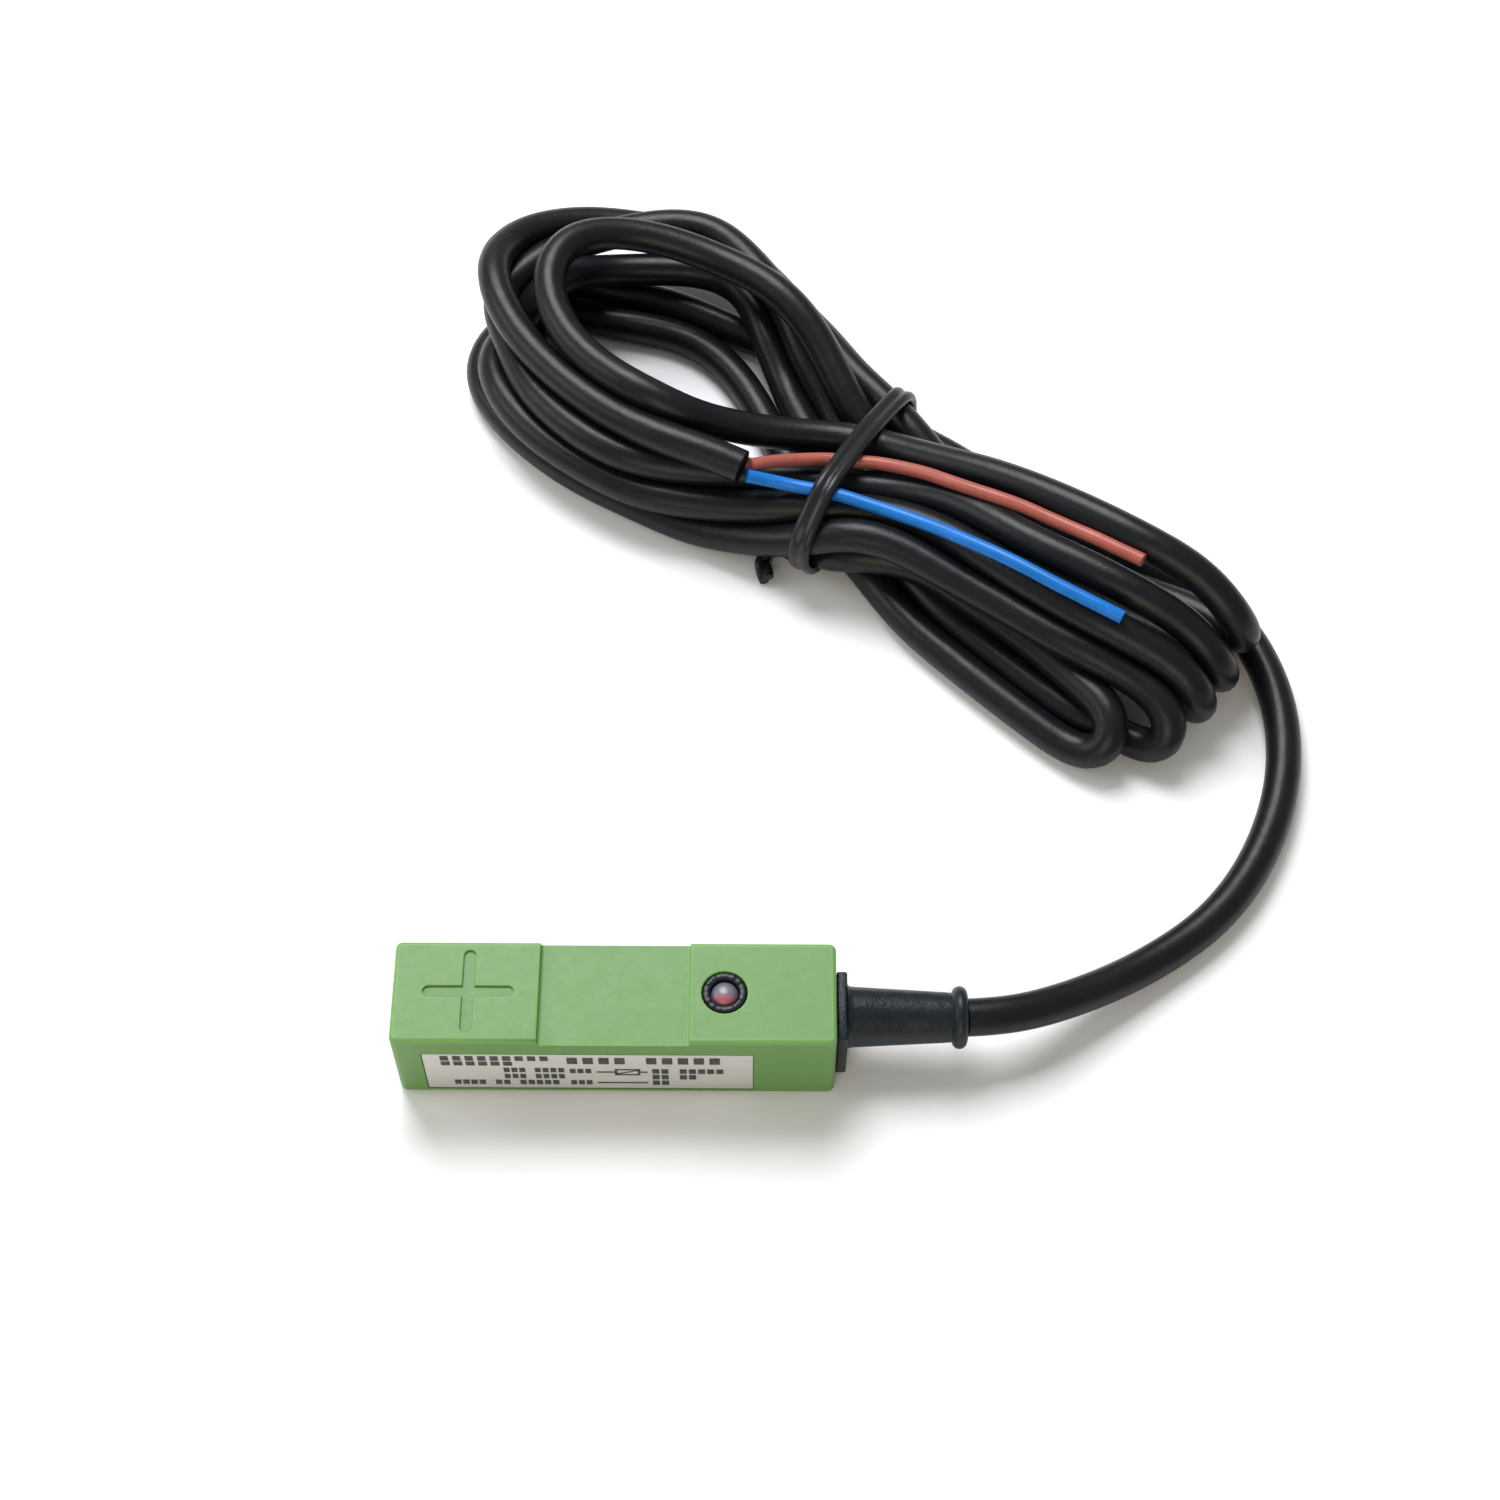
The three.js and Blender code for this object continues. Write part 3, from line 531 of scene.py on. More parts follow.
# Each turn's fold at the other end: points on the way out, the tip, the way it heads, half the way
# from the lower strand to the upper one, the fold's reach, and points on the way back underneath.
FOLDS = [
    {"out": [(32.8, 61.9, 5.8), (38.9, 58.0, 6.0), (45.9, 52.6, 6.2), (51.0, 47.8, 6.4)],
     "tip": (57.2, 36.8, 3.4), "heading": -50, "gap": (1.9, 1.6, 2.1), "reach": 3.4,
     "back": [(50.8, 39.5, 2.1), (45.5, 43.9, 2.1), (39.8, 49.7, 2.1), (34.2, 55.6, 2.1), (30.0, 61.4, 2.1)]},
    {"out": [(33.0, 62.0, 9.2), (45.6, 52.6, 9.8), (52.4, 47.3, 9.4)],
     "tip": (63.6, 37.0, 4.6), "heading": -52, "gap": (1.8, 1.0, 3.0), "reach": 3.8,
     "back": [(55.0, 41.8, 2.1), (49.0, 46.2, 2.1), (43.6, 51.0, 2.1), (38.0, 57.0, 2.1), (32.4, 65.0, 2.1)]},
    {"out": [(33.5, 64.8, 10.4), (45.4, 55.2, 12.4), (52.4, 50.2, 12.6), (58.5, 45.8, 11.2)],
     "tip": (67.6, 41.2, 6.0), "heading": -60, "gap": (0.0, -1.6, 3.9), "reach": 4.4,
     "back": [(57.5, 49.5, 2.1), (47.0, 55.0, 2.1), (38.0, 63.0, 2.1)]},
    {"out": [(32.8, 69.9, 9.5), (44.3, 61.2, 13.8), (55.6, 54.0, 15.0), (62.6, 49.9, 13.8)],
     "tip": (70.7, 45.2, 6.6), "heading": -58, "gap": (0.0, -2.6, 4.2), "reach": 5.2,
     "back": [(60.0, 56.0, 2.1), (50.0, 61.5, 2.1), (40.0, 70.0, 2.1)]},
    {"out": [(35.9, 73.8, 11.2), (44.7, 68.6, 14.2), (56.0, 60.8, 16.6), (64.0, 55.3, 16.6)],
     "tip": (73.0, 49.7, 9.0), "heading": -57, "gap": (0.0, -3.2, 5.2), "reach": 5.8,
     "back": [(61.5, 62.0, 2.4), (50.5, 67.0, 2.4), (41.0, 75.0, 2.8)]},
]

# Where the smallest loop comes down to the waist, and the last loop's way to its stripped end.
SMALL_LOOP_END = [(8.0, 79.0, 12.6), (13.1, 78.9, 10.6), (18.1, 78.9, 9.4)]
STRIPPED_END = [(8.2, 73.2, 13.6), (14.6, 70.2, 13.0)]

LOOP_POINTS = 9
FOLD_POINTS = 6


def waist_place(along, across, height):
    """A point at the waist, in millimetres, measured along and across the hank."""
    cos, sin = math.cos(WAIST_ANGLE), math.sin(WAIST_ANGLE)
    return (WAIST.x + along * cos - across * sin, WAIST.y + along * sin + across * cos, height)


def loop_places(loop):
    tilt = math.radians(loop["tilt"])
    out = np.array((math.cos(tilt), math.sin(tilt)))
    side = np.array((math.sin(tilt), -math.cos(tilt)))
    far, end, near = loop["heights"]
    places = []
    for angle in np.linspace(*loop["span"], LOOP_POINTS):
        turn = math.radians(angle)
        spot = np.array(loop["centre"]) + out * loop["half"][0] * math.cos(turn)
        spot = spot + side * loop["half"][1] * math.sin(turn)
        places.append((spot[0], spot[1], float(np.interp(angle, [-90, 0, 90], [near, end, far]))))
    return places


def fold_places(fold, floor):
    heading = math.radians(fold["heading"])
    ahead = np.array((math.cos(heading), math.sin(heading), 0.0))
    gap = np.array(fold["gap"])
    gap = gap - ahead * gap.dot(ahead)
    middle = np.array(fold["tip"]) - ahead * fold["reach"]
    places = []
    for turn in np.linspace(0.0, math.pi, FOLD_POINTS):
        spot = middle + gap * math.cos(turn) + ahead * fold["reach"] * math.sin(turn)
        places.append((spot[0], spot[1], max(spot[2], floor)))
    return places


def hank_places(diameter):
    """The cable's points round the whole hank, in millimetres, turn by turn."""
    places = list(FIRST_PASS)
    for loop, fold in zip(BIG_LOOPS, [*FOLDS, None]):
        places.append(waist_place(0.0, *loop["below"]))
        places += loop_places(loop)
        if fold is None:
            places += STRIPPED_END
            break
        if fold is FOLDS[-1]:
            places += SMALL_LOOP_END
        places.append(waist_place(-2.0, *loop["above"]))
        places += fold["out"]
        places += fold_places(fold, diameter / 2)
        places += fold["back"]
    return places


def settle(line, held, diameter, rounds=260, pull=0.05, stiffness=0.35):
    """Lets the strands push each other apart and lie on the table, without leaving their places."""
    home = line.copy()
    count = len(line)
    step = np.linalg.norm(np.diff(line, axis=0), axis=1).mean()
    ones, others = np.triu_indices(count, int(math.ceil(1.6 * diameter / step)))
    look_again, seen_within = 20, 2.2 * diameter
    for turn in range(rounds):
        if turn % look_again == 0:
            apart = np.linalg.norm(line[ones] - line[others], axis=1)
            near = apart < seen_within
            first, second = ones[near], others[near]
        line += pull * (1 - turn / rounds) * (home - line)
        bent = line.copy()
        curl = -line[:-4] + 4 * line[1:-3] - 6 * line[2:-2] + 4 * line[3:-1] - line[4:]
        bent[2:-2] += stiffness * curl / 6
        line = bent
        for _ in range(2):
            way = np.diff(line, axis=0)
            reach = np.linalg.norm(way, axis=1, keepdims=True)
            share = way * (1 - step / reach) * 0.25
            line[:-1] += share
            line[1:] -= share
        for _ in range(3):
            way = line[first] - line[second]
            reach = np.linalg.norm(way, axis=1)
            close = reach < diameter
            if close.any():
                a, b = first[close], second[close]
                push = way[close] / np.maximum(reach[close], 1e-6)[:, None]
                push = push * ((diameter - reach[close]) * 0.5)[:, None]
                moved, touched = np.zeros_like(line), np.zeros(count)
                np.add.at(moved, a, push)
                np.add.at(moved, b, -push)
                np.add.at(touched, a, 1)
                np.add.at(touched, b, 1)
                line += moved / np.maximum(touched, 1)[:, None] * 1.4
            line[:, 2] = np.maximum(line[:, 2], diameter / 2)
        line[:held] = home[:held]
    return line


def cable_line(diameter):
    """The cable's whole centreline in metres, from the strain relief to the stripped end."""
    thick = diameter / MM
    step = 1.6
    lead = np.array(LEAD_ROUTE) / MM
    lead_line = relaxed(through(lead, 8), 60)
    rest = through([*lead[-3:], *hank_places(thick)], 14)[2 * 14:]
    whole = evenly(np.vstack([lead_line[:-1], rest]), step)
    held = len(evenly(lead_line, step)) - 2
    whole = settle(whole, held, thick)
    start = np.array([(INNER_HIGH.x / MM, 0.0, lead[0, 2])])
    fine = evenly(np.vstack([start, through(whole[::2], 5)]), 0.8)
    return relaxed(fine, 8) * MM


# The two cores lie on the hank from the jacket's end (metres).
BROWN_ROUTE = [
    (0.0144, 0.0709, 0.0134), (0.0174, 0.0721, 0.0126), (0.0206, 0.0729, 0.0119),
    (0.0237, 0.0733, 0.0115), (0.0269, 0.0730, 0.0115), (0.0300, 0.0724, 0.0119),
    (0.0330, 0.0712, 0.0126), (0.0360, 0.0695, 0.0136), (0.0388, 0.0675, 0.0146),
    (0.0416, 0.0657, 0.0154), (0.0445, 0.0642, 0.0158), (0.0473, 0.0629, 0.0158),
    (0.0500, 0.0613, 0.0159), (0.0527, 0.0595, 0.0163), (0.0553, 0.0577, 0.0168),
    (0.0579, 0.0559, 0.0171), (0.0605, 0.0542, 0.0173),
]
BLUE_ROUTE = [
    (0.0140, 0.0694, 0.0132), (0.0168, 0.0693, 0.0124), (0.0198, 0.0688, 0.0120),
    (0.0229, 0.0679, 0.0123), (0.0258, 0.0668, 0.0126), (0.0287, 0.0655, 0.0128),
    (0.0316, 0.0641, 0.0131), (0.0344, 0.0626, 0.0135), (0.0371, 0.0609, 0.0141),
    (0.0397, 0.0590, 0.0148), (0.0424, 0.0571, 0.0154), (0.0450, 0.0553, 0.0158),
    (0.0476, 0.0535, 0.0160), (0.0500, 0.0518, 0.0161), (0.0527, 0.0501, 0.0161),
    (0.0552, 0.0486, 0.0160), (0.0578, 0.0472, 0.0157),
]

# ---------------------------------------------------------------- the tie

TIE_FAR = Vector((34.0, 87.0)) * MM
TIE_NEAR = Vector((20.6, 62.2)) * MM
TIE_TAIL = [
    (0.0210, 0.0655, 0.0012), (0.0190, 0.0668, 0.0013), (0.0170, 0.0665, 0.0013),
    (0.0160, 0.0652, 0.0012), (0.0162, 0.0638, 0.0011), (0.0165, 0.0626, 0.0010),
]


def hull_of(points):
    """The convex outline of flat points, anticlockwise."""
    points = sorted(map(tuple, points))

    def half(sequence):
        out = []
        for point in sequence:
            while len(out) > 1:
                (ax, ay), (bx, by) = out[-2], out[-1]
                if (bx - ax) * (point[1] - ay) - (by - ay) * (point[0] - ax) > 0:
                    break
                out.pop()
            out.append(point)
        return out[:-1]

    return np.array(half(points) + half(reversed(points)))


def tie_outline(cable, wires, width, thickness):
    """The line that the tie follows round the hank, in its own plane, and that plane's matrix."""
    middle = (TIE_FAR + TIE_NEAR) / 2
    across = (TIE_FAR - TIE_NEAR).normalized()
    along = Vector((across.y, -across.x))
    origin = np.array((middle.x, middle.y, 0.0))
    spots = []
    cords = [(cable, chosen("cable").diameter), *((wire, chosen("wires").diameter) for wire in wires)]
    for line, diameter in cords:
        offset = line - origin
        beside = offset[:, 0] * along.x + offset[:, 1] * along.y
        place = offset[:, 0] * across.x + offset[:, 1] * across.y
        held = (np.abs(beside) < width / 2) & (np.abs(place) < 0.019)
        for spot, height in zip(place[held], line[held, 2]):
            for turn in np.linspace(0.0, math.tau, 16, endpoint=False):
                reach = diameter / 2 + thickness * 0.5
                spots.append((spot + reach * math.cos(turn), height + reach * math.sin(turn)))
    outline = hull_of(spots)
    outline[:, 1] = np.maximum(outline[:, 1], thickness / 2)
    ring = np.c_[outline, np.zeros(len(outline))]
    ring = evenly(np.vstack([ring, ring[:1]]), 0.0008)[:-1]
    for _ in range(6):
        ring = (np.roll(ring, 1, axis=0) + 2 * ring + np.roll(ring, -1, axis=0)) / 4
    plane = Matrix(
        (
            (across.x, 0.0, along.x, middle.x),
            (across.y, 0.0, along.y, middle.y),
            (0.0, 1.0, 0.0, 0.0),
            (0.0, 0.0, 0.0, 1.0),
        )
    )
    return ring, plane


def ribbed_section(width, thickness):
    """Two round ribs with a groove between them: a plastic-covered wire tie."""
    rib = width / 4
    section = []
    for side in (-1, 1):
        for turn in np.linspace(-math.pi * 0.78, math.pi * 0.78, 11):
            x = side * (rib + rib * 0.98 * math.cos(turn))
            y = side * thickness / 2 * math.sin(turn)
            section.append((y, x))
    return np.array(section)


# ---------------------------------------------------------------- settings


def colour_property(name, description, default):
    return bpy.props.FloatVectorProperty(
        name=name, description=description, subtype="COLOR", size=3, min=0.0, max=1.0, default=default
    )


class HousingSettings(bpy.types.PropertyGroup):
    """Housing, label and lamp."""

    colour: colour_property(
        "Housing colour", "Moulded plastic of the housing", linear((95, 139, 69))
    )
    edge: bpy.props.FloatProperty(
        name="Edge softness", description="Width of the small edges of recesses", unit="LENGTH",
        subtype="DISTANCE", default=0.00007, min=0.0, max=0.0005, precision=5,
    )
    rim: bpy.props.FloatProperty(
        name="Rim softness", description="Width of the rounded rims on top", unit="LENGTH",
        subtype="DISTANCE", default=0.00018, min=0.0, max=0.0005, precision=5,
    )
    foil: colour_property("Label colour", "Foil of the rating label", linear((201, 201, 198)))
    ink: colour_property("Ink colour", "Print on the rating label", (0.012, 0.012, 0.012))
    glow: colour_property("Lamp colour", "Red part of the indicator lamp", linear((176, 76, 92)))


class CableSettings(bpy.types.PropertyGroup):
    """Cable and strain relief."""

    diameter: bpy.props.FloatProperty(
        name="Cable diameter", description="Over the jacket", unit="LENGTH", subtype="DISTANCE",
        default=float(INNER_HIGH.z - INNER_LOW.z), min=0.002, max=0.01, precision=4,
    )
    # The black is the vinyl's own. Its faint blue cast is a painted reflection.
    jacket: colour_property("Jacket colour", "Black vinyl of the cable", (0.0045, 0.0055, 0.0068))
    # The black is the rubber's own. Its blue cast is a painted reflection. This colour is used for the strain
    # relief and the lamp seal.
    rubber: colour_property("Relief colour", "Moulded strain relief", (0.008, 0.0115, 0.0155))


class WireSettings(bpy.types.PropertyGroup):
    """The two insulated cores."""

    diameter: bpy.props.FloatProperty(
        name="Wire diameter", description="Over the insulation", unit="LENGTH", subtype="DISTANCE",
        default=0.00165, min=0.0008, max=0.003, precision=5,
    )
    brown: colour_property("Brown", "Insulation of the supply core", linear((152, 82, 71)))
    blue: colour_property("Blue", "Insulation of the return core", linear((18, 100, 176)))


class TieSettings(bpy.types.PropertyGroup):
    """The twist tie."""

    width: bpy.props.FloatProperty(
        name="Tie width", description="Across both ribs", unit="LENGTH", subtype="DISTANCE",
        default=0.0029, min=0.001, max=0.006, precision=4,
    )
    thickness: bpy.props.FloatProperty(
        name="Tie thickness", description="Through a rib", unit="LENGTH", subtype="DISTANCE",
        default=0.0012, min=0.0005, max=0.003, precision=4,
    )
    colour: colour_property("Tie colour", "Plastic over the tie's wire", (0.012, 0.0125, 0.0135))


class StageSettings(bpy.types.PropertyGroup):
    """Floor, light and camera."""

    floor: colour_property("Floor colour", "Plain pale floor", (0.88, 0.88, 0.88))
    power: bpy.props.FloatProperty(
        name="Main light", description="Power of the soft light overhead", unit="POWER",
        default=4.6, min=0.0, max=100.0,
    )
    lens: bpy.props.FloatProperty(
        name="Lens", description="Focal length in millimetres", subtype="DISTANCE_CAMERA",
        default=62.4, min=20.0, max=200.0,
    )


def chosen(group):
    """The sizes and colours set for one group."""
    return getattr(bpy.context.scene, "sensor_" + group)


def dress_nodes(names, finish):
    """Gives the part's own nodes a finish, without touching their shape."""
    for name in names:
        materials = frame["nodes"][name].data.materials
        for index in range(len(materials)):
            materials[index] = finish


# ---------------------------------------------------------------- operators


class SENSOR_OT_housing(bpy.types.Operator):
    """Builds the housing with softened edges and its end cap's finish"""

    bl_idname = "sensor.housing"
    bl_label = "Housing"

    def execute(self, context):
        settings = chosen("housing")
        green = moulded_plastic("housing_green_plastic", tuple(settings.colour))
        bm = bmesh.new()
        bm.from_mesh(frame["nodes"]["housing_shell"].data)
        bmesh.ops.remove_doubles(bm, verts=bm.verts, dist=1e-6)
        bmesh.ops.dissolve_limit(
            bm, angle_limit=math.radians(0.6), verts=bm.verts, edges=bm.edges,
            use_dissolve_boundaries=False,
        )
        rubbed = bm.faces.layers.float.new("rubbed")
        grimy = bm.faces.layers.float.new("grimy")

        def crisp_edges(above):
            return [
                e for e in bm.edges
                if len(e.link_faces) == 2 and e.calc_face_angle(0.0) > math.radians(50)
                and min(v.co.z for v in e.verts) > above
            ]

        for above, offset, segments in (
            (HOUSING_HIGH.z - 0.05 * MM, settings.rim, 4), (HOUSING_LOW.z - MM, settings.edge, 2),
        ):
            bmesh.ops.bevel(
                bm, geom=crisp_edges(above), offset=offset, affect="EDGES", segments=segments,
                profile=0.5, material=-1, clamp_overlap=above < 0,
            )
        # Marks painted shade on the floor and walls of the sunken cross, and a painted highlight on the
        # rounded rims on top.
        for face in bm.faces:
            spot = face.calc_center_median()
            flat = max(abs(face.normal.x), abs(face.normal.y), abs(face.normal.z)) > 0.99
            over_coil = HOUSING_LOW.x + 2 * MM < spot.x < HOUSING_LOW.x + 14.5 * MM
            sunken = over_coil and abs(spot.y) < 5.3 * MM and spot.z > HOUSING_HIGH.z - 0.4 * MM
            low = spot.z < HOUSING_HIGH.z - 0.14 * MM
            if sunken and low:
                face[grimy] = 0.18 if face.normal.z > 0.99 else 0.55
            elif not flat and spot.z > HOUSING_HIGH.z - 1.1 * MM:
                face[rubbed] = 1.0
        mesh = close_mesh(bm, "housing", sharp=80.0, recalculate=False)
        housing = add_piece("housing", mesh, green, ["housing_shell"])
        even = housing.modifiers.new("even_shading", "WEIGHTED_NORMAL")
        even.weight = 100
        even.keep_sharp = True
        dress_nodes(["end_cap"], green)
        return {"FINISHED"}


class SENSOR_OT_label(bpy.types.Operator):
    """Builds the rating label with plain marks in place of its text and a painted shadow along its top edge
    """

    bl_idname = "sensor.label"
    bl_label = "Rating label"

    def execute(self, context):
        settings = chosen("housing")
        bm = bmesh.new()
        box_between(bm, LABEL_LOW, LABEL_HIGH, bevel=0.00004)
        mesh = close_mesh(bm, "label_plate")
        add_piece("label_plate", mesh, label_foil(tuple(settings.foil)), ["rating_label"])
        bm = bmesh.new()
        for left, right, low, high in label_marks():
            box_between(
                bm,
                (LABEL_LOW.x + left * MM, LABEL_LOW.y - 0.00003, LABEL_HIGH.z - high * MM),
                (LABEL_LOW.x + right * MM, LABEL_LOW.y + 0.00003, LABEL_HIGH.z - low * MM),
            )
        slash = bmesh.ops.create_cube(bm, size=1.0)["verts"]
        bmesh.ops.scale(bm, verts=slash, vec=(2.9 * MM, 0.00006, 0.22 * MM))
        bmesh.ops.rotate(bm, verts=slash, cent=(0, 0, 0), matrix=Matrix.Rotation(math.radians(-21), 3, "Y"))
        bmesh.ops.translate(
            bm, verts=slash, vec=(LABEL_LOW.x + 22.1 * MM, LABEL_LOW.y, LABEL_HIGH.z - 4.6 * MM)
        )
        mesh = close_mesh(bm, "label_print_and_painted_shadow")
        # The ink also paints the shadow strip along the label's top edge.
        add_piece("label_print_and_painted_shadow", mesh, printing_ink(tuple(settings.ink)))
        return {"FINISHED"}


# Rows of short bars on the label: left and top edge, height, pattern, pitch and the inked share of it.
LABEL_ROWS = [
    (1.9, 0.6, 1.15, "111111111", 1.35, 0.66),
    (1.9, 2.0, 1.0, "111111", 1.35, 0.72),
    (15.6, 0.9, 1.6, "1111011111", 1.72, 0.66),
    (8.6, 3.6, 1.1, "11101111", 0.85, 0.76),
    (8.6, 5.2, 1.1, "11101111", 0.85, 0.76),
    (3.0, 6.8, 1.1, "11110110111110", 0.9, 0.78),
    (15.8, 3.8, 1.1, "111", 0.85, 0.76),
    (15.8, 6.8, 1.1, "111", 0.85, 0.76),
    (24.8, 3.8, 1.15, "11011111", 1.0, 0.78),
    (24.8, 5.3, 1.15, "11011", 1.0, 0.78),
    (24.8, 6.8, 1.15, "11", 1.0, 0.78),
]

# The two-wire diagram: left, right, top and bottom edge of each stroke.
DIAGRAM = [
    (18.7, 20.7, 4.45, 4.75), (23.5, 24.3, 4.45, 4.75), (20.7, 23.5, 3.8, 4.1), (20.7, 23.5, 5.1, 5.4),
    (20.7, 21.0, 4.1, 5.1), (23.2, 23.5, 4.1, 5.1), (18.7, 24.3, 7.25, 7.55),
]


def label_marks():
    """The label's marks as (left, right, top, bottom), in millimetres from its upper left corner, with a
    strip of painted shadow along the top edge.
    """
    marks = []
    for left, top, height, pattern, pitch, fill in LABEL_ROWS:
        for place, on in enumerate(pattern):
            if on == "1":
                start = left + place * pitch
                marks.append((start, start + pitch * fill, top, top + height))
    width = (LABEL_HIGH.x - LABEL_LOW.x) / MM
    # The full-width strip at the top is painted shadow where the label meets its recess.
    return [*marks, (0.0, width, -0.05, 0.12), *DIAGRAM]


class SENSOR_OT_lamp(bpy.types.Operator):
    """Builds the indicator lamp's lens and the seal round it"""

    bl_idname = "sensor.lamp"
    bl_label = "Indicator lamp"

    def execute(self, context):
        settings = chosen("housing")
        centre = Vector(((LAMP_LOW.x + LAMP_HIGH.x) / 2, (LAMP_LOW.y + LAMP_HIGH.y) / 2, LAMP_HIGH.z))
        body = 1.55 * MM
        rim = (LAMP_HIGH.x - LAMP_LOW.x) / 2
        foot = LAMP_LOW.z - LAMP_HIGH.z
        profile = [(0.0, 0.0), (0.35 * MM, -0.02 * MM), (0.7 * MM, -0.09 * MM), (1.0 * MM, -0.22 * MM)]
        profile += [(1.25 * MM, -0.42 * MM), (1.42 * MM, -0.68 * MM), (1.52 * MM, -1.0 * MM)]
        ledge = foot + 1.0 * MM
        profile += [(body, -1.35 * MM), (body, ledge), (rim, ledge), (rim, foot), (0.0, foot)]
        bm = bmesh.new()
        spun(bm, profile, centre, (0, 0, 1), 48)
        lens = close_mesh(bm, "lamp_lens_dome")
        glass = lamp_glass(linear((70, 68, 78)), tuple(settings.glow))
        add_piece("lamp_lens_dome", lens, glass, ["indicator_lamp"])

        top = SEAL_HIGH.z - LAMP_HIGH.z
        low = SEAL_LOW.z - LAMP_HIGH.z
        inner, outer = body + 0.06 * MM, (SEAL_HIGH.x - SEAL_LOW.x) / 2
        middle = (inner + outer) / 2
        profile = [(inner, low), (inner, top - 0.35 * MM), (inner + 0.1 * MM, top - 0.16 * MM)]
        profile += [(middle, top - 0.1 * MM)]
        profile += [(outer - 0.12 * MM, top - 0.16 * MM), (outer, top - 0.34 * MM)]
        profile += [(outer, low), (inner, low)]
        bm = bmesh.new()
        spun(bm, profile, centre, (0, 0, 1), 72)
        bmesh.ops.subdivide_edges(
            bm, edges=[e for e in bm.edges if min(v.co.z for v in e.verts) > centre.z + top - 0.4 * MM],
            cuts=1, use_grid_fill=True,
        )
        for vert in bm.verts:
            if vert.co.z > centre.z + top - 0.3 * MM:
                turn = math.atan2(vert.co.y - centre.y, vert.co.x - centre.x)
                lump = math.sin(9 * turn + 0.6) * math.sin(4 * turn) + 0.6 * math.sin(17 * turn + 1.9)
                vert.co.z += 0.03 * MM * lump
        seal = close_mesh(bm, "lamp_seal_lip")
        black = soft_vinyl("seal_black_rubber", tuple(chosen("cable").rubber), 0.3, 0.1, 0.0001)
        add_piece("lamp_seal_lip", seal, black, ["lamp_seal_ring"])
        return {"FINISHED"}


class SENSOR_OT_relief(bpy.types.Operator):
    """Builds the moulded strain relief with its flange and end bead"""

    bl_idname = "sensor.relief"
    bl_label = "Strain relief"

    def execute(self, context):
        axis = Vector((0.0, 0.0, (INNER_LOW.z + INNER_HIGH.z) / 2))
        bore = chosen("cable").diameter / 2 + 0.05 * MM
        face = 25.3 * MM
        inside = RELIEF_LOW.x
        profile = [(bore, inside), (2.8 * MM, inside), (2.8 * MM, face), (3.75 * MM, face)]
        profile += [(3.5 * MM, face + 0.1 * MM), (3.38 * MM, face + 0.3 * MM), (3.33 * MM, face + 0.6 * MM)]
        profile += [(2.78 * MM, 36.2 * MM), (2.72 * MM, 36.75 * MM), (2.95 * MM, 36.95 * MM)]
        for turn in np.linspace(-75, 75, 9):
            swing = math.radians(turn)
            along = 37.65 * MM + 0.82 * MM * math.sin(swing)
            profile.append((2.7 * MM + 0.75 * MM * math.cos(swing), along))
        profile += [(2.6 * MM, 38.5 * MM), (bore, 38.5 * MM), (bore, inside)]
        bm = bmesh.new()
        spun(bm, profile, axis, (1, 0, 0), 64)
        half = 4.1 * MM
        box_between(bm, (24.12 * MM, -half, 1.1 * MM), (face, half, 9.9 * MM), 0.22 * MM, 3)
        mesh = close_mesh(bm, "strain_relief")
        black = soft_vinyl("relief_black_rubber", tuple(chosen("cable").rubber), 0.36, 0.16, 0.0003)
        add_piece("strain_relief", mesh, black, ["strain_relief_boot"])
        return {"FINISHED"}


class SENSOR_OT_cable(bpy.types.Operator):
    """Lays the cable from the strain relief round the hank, with its cores and the tie"""

    bl_idname = "sensor.cable"
    bl_label = "Cable, cores and tie"

    def execute(self, context):
        settings, wires, tie = chosen("cable"), chosen("wires"), chosen("tie")
        line = cable_line(settings.diameter)
        jacket = soft_vinyl("cable_black_vinyl", tuple(settings.jacket), 0.36, 0.16)
        cable = strand(
            "cable", line, settings.diameter / 2, jacket, ["cable_lead", "cable_hank"]
        )
        dress_nodes(["cable_inner_end"], jacket)

        cores = []
        for name, route, colour in (("brown", BROWN_ROUTE, wires.brown), ("blue", BLUE_ROUTE, wires.blue)):
            skin = soft_vinyl(f"{name}_insulation_vinyl", tuple(colour), 0.3, 0.1, 0.00006)
            core_line = evenly(through(route, 10), 0.0005)
            core = strand(
                f"{name}_core", core_line, wires.diameter / 2, skin, [f"{name}_wire"]
            )
            dress_nodes([f"{name}_core_inside"], skin)
            cores.append(core_line)

        ring, plane = tie_outline(line, cores, tie.width, tie.thickness)
        mesh = swept_mesh("tie_strap", ring, ribbed_section(tie.width, tie.thickness), closed=True)
        mesh.transform(plane)
        strap = bmesh.new()
        strap.from_mesh(mesh)
        tail_route = evenly(through(TIE_TAIL, 10), 0.0003)
        narrow = ribbed_section(tie.width * 0.75, tie.thickness)
        tail = swept_mesh("tie_tail", tail_route, narrow, closed=False, turns=0.9)
        strap.from_mesh(tail)
        black = soft_vinyl("tie_black_plastic", tuple(tie.colour), 0.28, 0.1, 0.00008)
        mesh = close_mesh(strap, "wire_tie", sharp=50)
        piece = add_piece("wire_tie", mesh, black, ["twist_tie"])
        return {"FINISHED"}


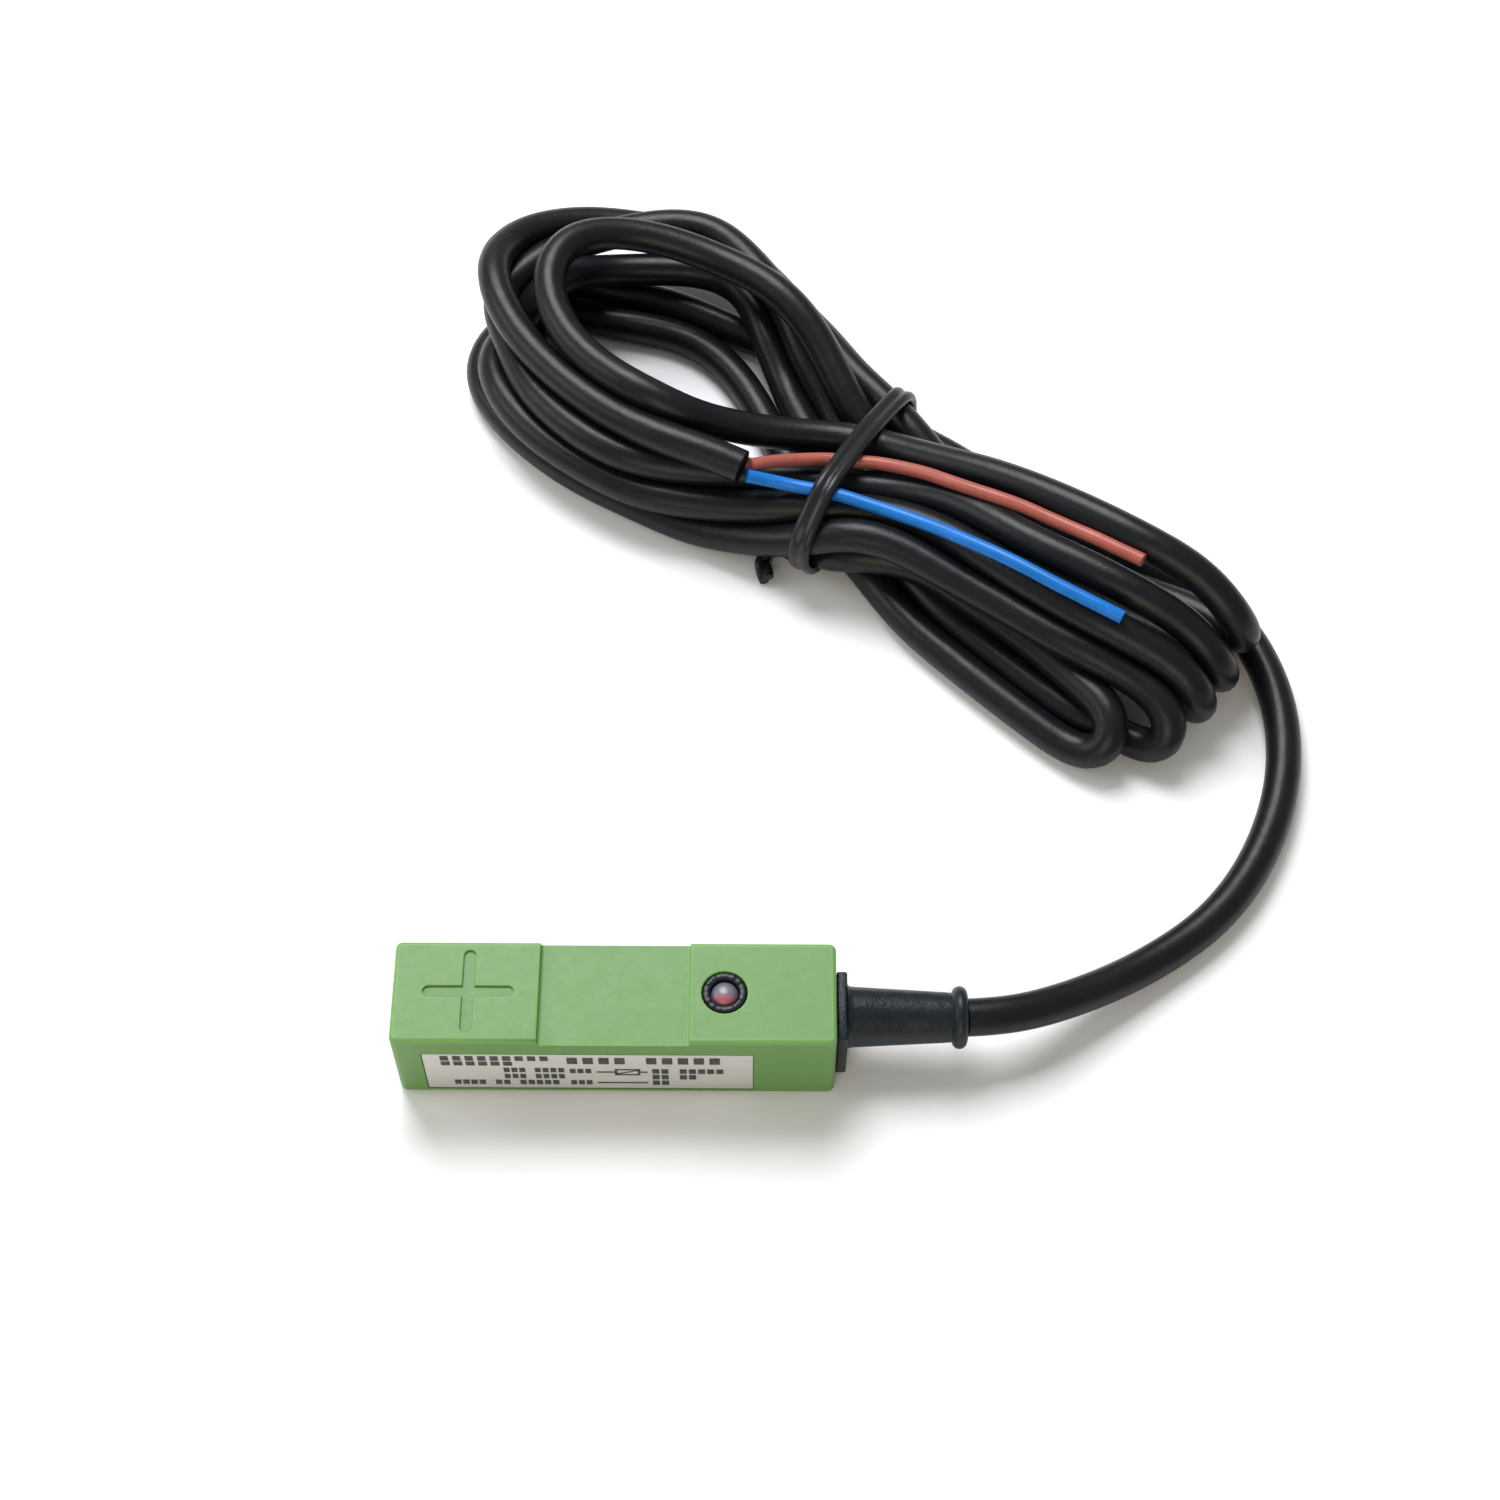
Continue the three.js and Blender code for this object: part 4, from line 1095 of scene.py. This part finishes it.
class SENSOR_OT_inside(bpy.types.Operator):
    """Gives the pieces inside the housing their finishes"""

    bl_idname = "sensor.inside"
    bl_label = "Pieces inside"

    def execute(self, context):
        tinned = worked_metal("tinned_copper", (0.72, 0.72, 0.7), 0.32)
        dress_nodes(["lamp_pin_anode", "lamp_pin_cathode", "cable_crimp_ring"], tinned)
        copper = wound_copper((0.86, 0.36, 0.16), 0.3 * MM)
        dress_nodes(["coil_winding", "coil_wire_start", "coil_wire_end"], copper)
        ferrite = fired_ceramic("ferrite_grey", (0.045, 0.045, 0.05), 0.5, (0.12, 0.12, 0.13))
        dress_nodes(["ferrite_core"], ferrite)
        dress_nodes(["coil_bobbin"], moulded_plastic("bobbin_cream_plastic", (0.7, 0.66, 0.52), 0.45))
        dress_nodes(["circuit_board"], board_mask((0.02, 0.16, 0.06), (0.1, 0.34, 0.12)))
        epoxy = moulded_plastic("chip_black_epoxy", (0.02, 0.02, 0.021), 0.5, 14000.0)
        dress_nodes(
            ["oscillator_chip", "voltage_regulator", "output_transistor", "surge_diode", "reverse_diode"],
            epoxy,
        )
        tan = fired_ceramic("capacitor_tan_ceramic", (0.5, 0.32, 0.16), 0.4, (0.62, 0.44, 0.25))
        dress_nodes(["tuning_capacitor", "smoothing_capacitor"], tan)
        film = fired_ceramic("resistor_black_film", (0.03, 0.03, 0.035), 0.35, (0.1, 0.1, 0.11))
        dress_nodes(["sensitivity_resistor", "lamp_resistor", "load_resistor"], film)
        dress_nodes(["resin_bed", "rear_potting"], cast_resin((0.03, 0.03, 0.032)))
        return {"FINISHED"}


# The camera's place in metres, and how far it looks down and rolls, in degrees.
CAMERA_PLACE = (0.01451155, -0.12287226, 0.26649103)
CAMERA_DOWN = 58.81678
CAMERA_ROLL = -0.27379


class SENSOR_OT_stage(bpy.types.Operator):
    """Makes the floor, the soft lights and the camera"""

    bl_idname = "sensor.stage"
    bl_label = "Floor, light and camera"

    def execute(self, context):
        settings = chosen("stage")
        scene = context.scene
        bm = bmesh.new()
        bmesh.ops.create_grid(bm, x_segments=1, y_segments=1, size=3.0)
        mesh = bpy.data.meshes.new("floor")
        bm.to_mesh(mesh)
        bm.free()
        floor = bpy.data.objects.new("floor", mesh)
        scene.collection.objects.link(floor)
        paper = Finish("floor_paper")
        paper.set(Base_Color=tuple(settings.floor), Roughness=0.8)
        mesh.materials.append(paper.material)

        world = bpy.data.worlds.new("studio")
        world.use_nodes = True
        world.node_tree.nodes["Background"].inputs["Color"].default_value = (0.95, 0.97, 1.0, 1.0)
        world.node_tree.nodes["Background"].inputs["Strength"].default_value = 0.36
        scene.world = world
        scene.view_settings.view_transform = "Standard"
        power = settings.power
        for name, spot, aim, size, watts, tint in (
            ("overhead", (-0.08, 0.36, 0.52), (0.02, 0.06, 0.0), 0.34, power, (0.96, 0.98, 1.0)),
            ("front_fill", (-0.1, -0.55, 0.28), (0.02, 0.03, 0.0), 0.4, power * 0.32, (1.0, 0.88, 0.66)),
            ("left_fill", (-0.5, 0.1, 0.3), (0.0, 0.06, 0.0), 0.3, power * 0.2, (0.95, 0.97, 1.0)),
        ):
            light = bpy.data.lights.new(name, "AREA")
            light.shape = "SQUARE"
            light.size = size
            light.energy = watts
            light.color = tint
            lamp = bpy.data.objects.new(name, light)
            lamp.location = spot
            lamp.rotation_euler = (Vector(aim) - Vector(spot)).to_track_quat("-Z", "Y").to_euler()
            scene.collection.objects.link(lamp)

        camera = bpy.data.cameras.new("camera")
        camera.lens = settings.lens
        camera.sensor_width = 36.0
        camera.clip_start = 0.01
        camera.clip_end = 20.0
        viewer = bpy.data.objects.new("camera", camera)
        tilt, roll = math.radians(90.0 - CAMERA_DOWN), math.radians(CAMERA_ROLL)
        turned = Matrix.Rotation(tilt, 4, "X") @ Matrix.Rotation(-roll, 4, "Z")
        viewer.matrix_world = Matrix.Translation(CAMERA_PLACE) @ turned
        scene.collection.objects.link(viewer)
        scene.camera = viewer
        return {"FINISHED"}


class SENSOR_PT_panel(bpy.types.Panel):
    """Sizes, colours and the steps that build the sensor"""

    bl_idname = "SENSOR_PT_panel"
    bl_label = "Proximity sensor"
    bl_space_type = "VIEW_3D"
    bl_region_type = "UI"
    bl_category = "Sensor"

    def draw(self, context):
        layout = self.layout
        for group in SETTINGS:
            settings = getattr(context.scene, group)
            column = layout.column()
            for name in settings.__annotations__:
                column.prop(settings, name)
        for step in STEPS:
            layout.operator(step.bl_idname)


SETTINGS = {
    "sensor_housing": HousingSettings,
    "sensor_cable": CableSettings,
    "sensor_wires": WireSettings,
    "sensor_tie": TieSettings,
    "sensor_stage": StageSettings,
}
STEPS = [
    SENSOR_OT_housing,
    SENSOR_OT_label,
    SENSOR_OT_lamp,
    SENSOR_OT_relief,
    SENSOR_OT_cable,
    SENSOR_OT_inside,
    SENSOR_OT_stage,
]


def register():
    for kind in (*SETTINGS.values(), *STEPS, SENSOR_PT_panel):
        bpy.utils.register_class(kind)
    for name, kind in SETTINGS.items():
        setattr(bpy.types.Scene, name, bpy.props.PointerProperty(type=kind))


def unregister():
    for name in SETTINGS:
        delattr(bpy.types.Scene, name)
    for kind in (SENSOR_PT_panel, *reversed(STEPS), *reversed(list(SETTINGS.values()))):
        bpy.utils.unregister_class(kind)


def main():
    register()
    bpy.ops.sensor.housing()
    bpy.ops.sensor.label()
    bpy.ops.sensor.lamp()
    bpy.ops.sensor.relief()
    bpy.ops.sensor.cable()
    bpy.ops.sensor.inside()
    bpy.ops.sensor.stage()


if __name__ == "__main__":
    main()
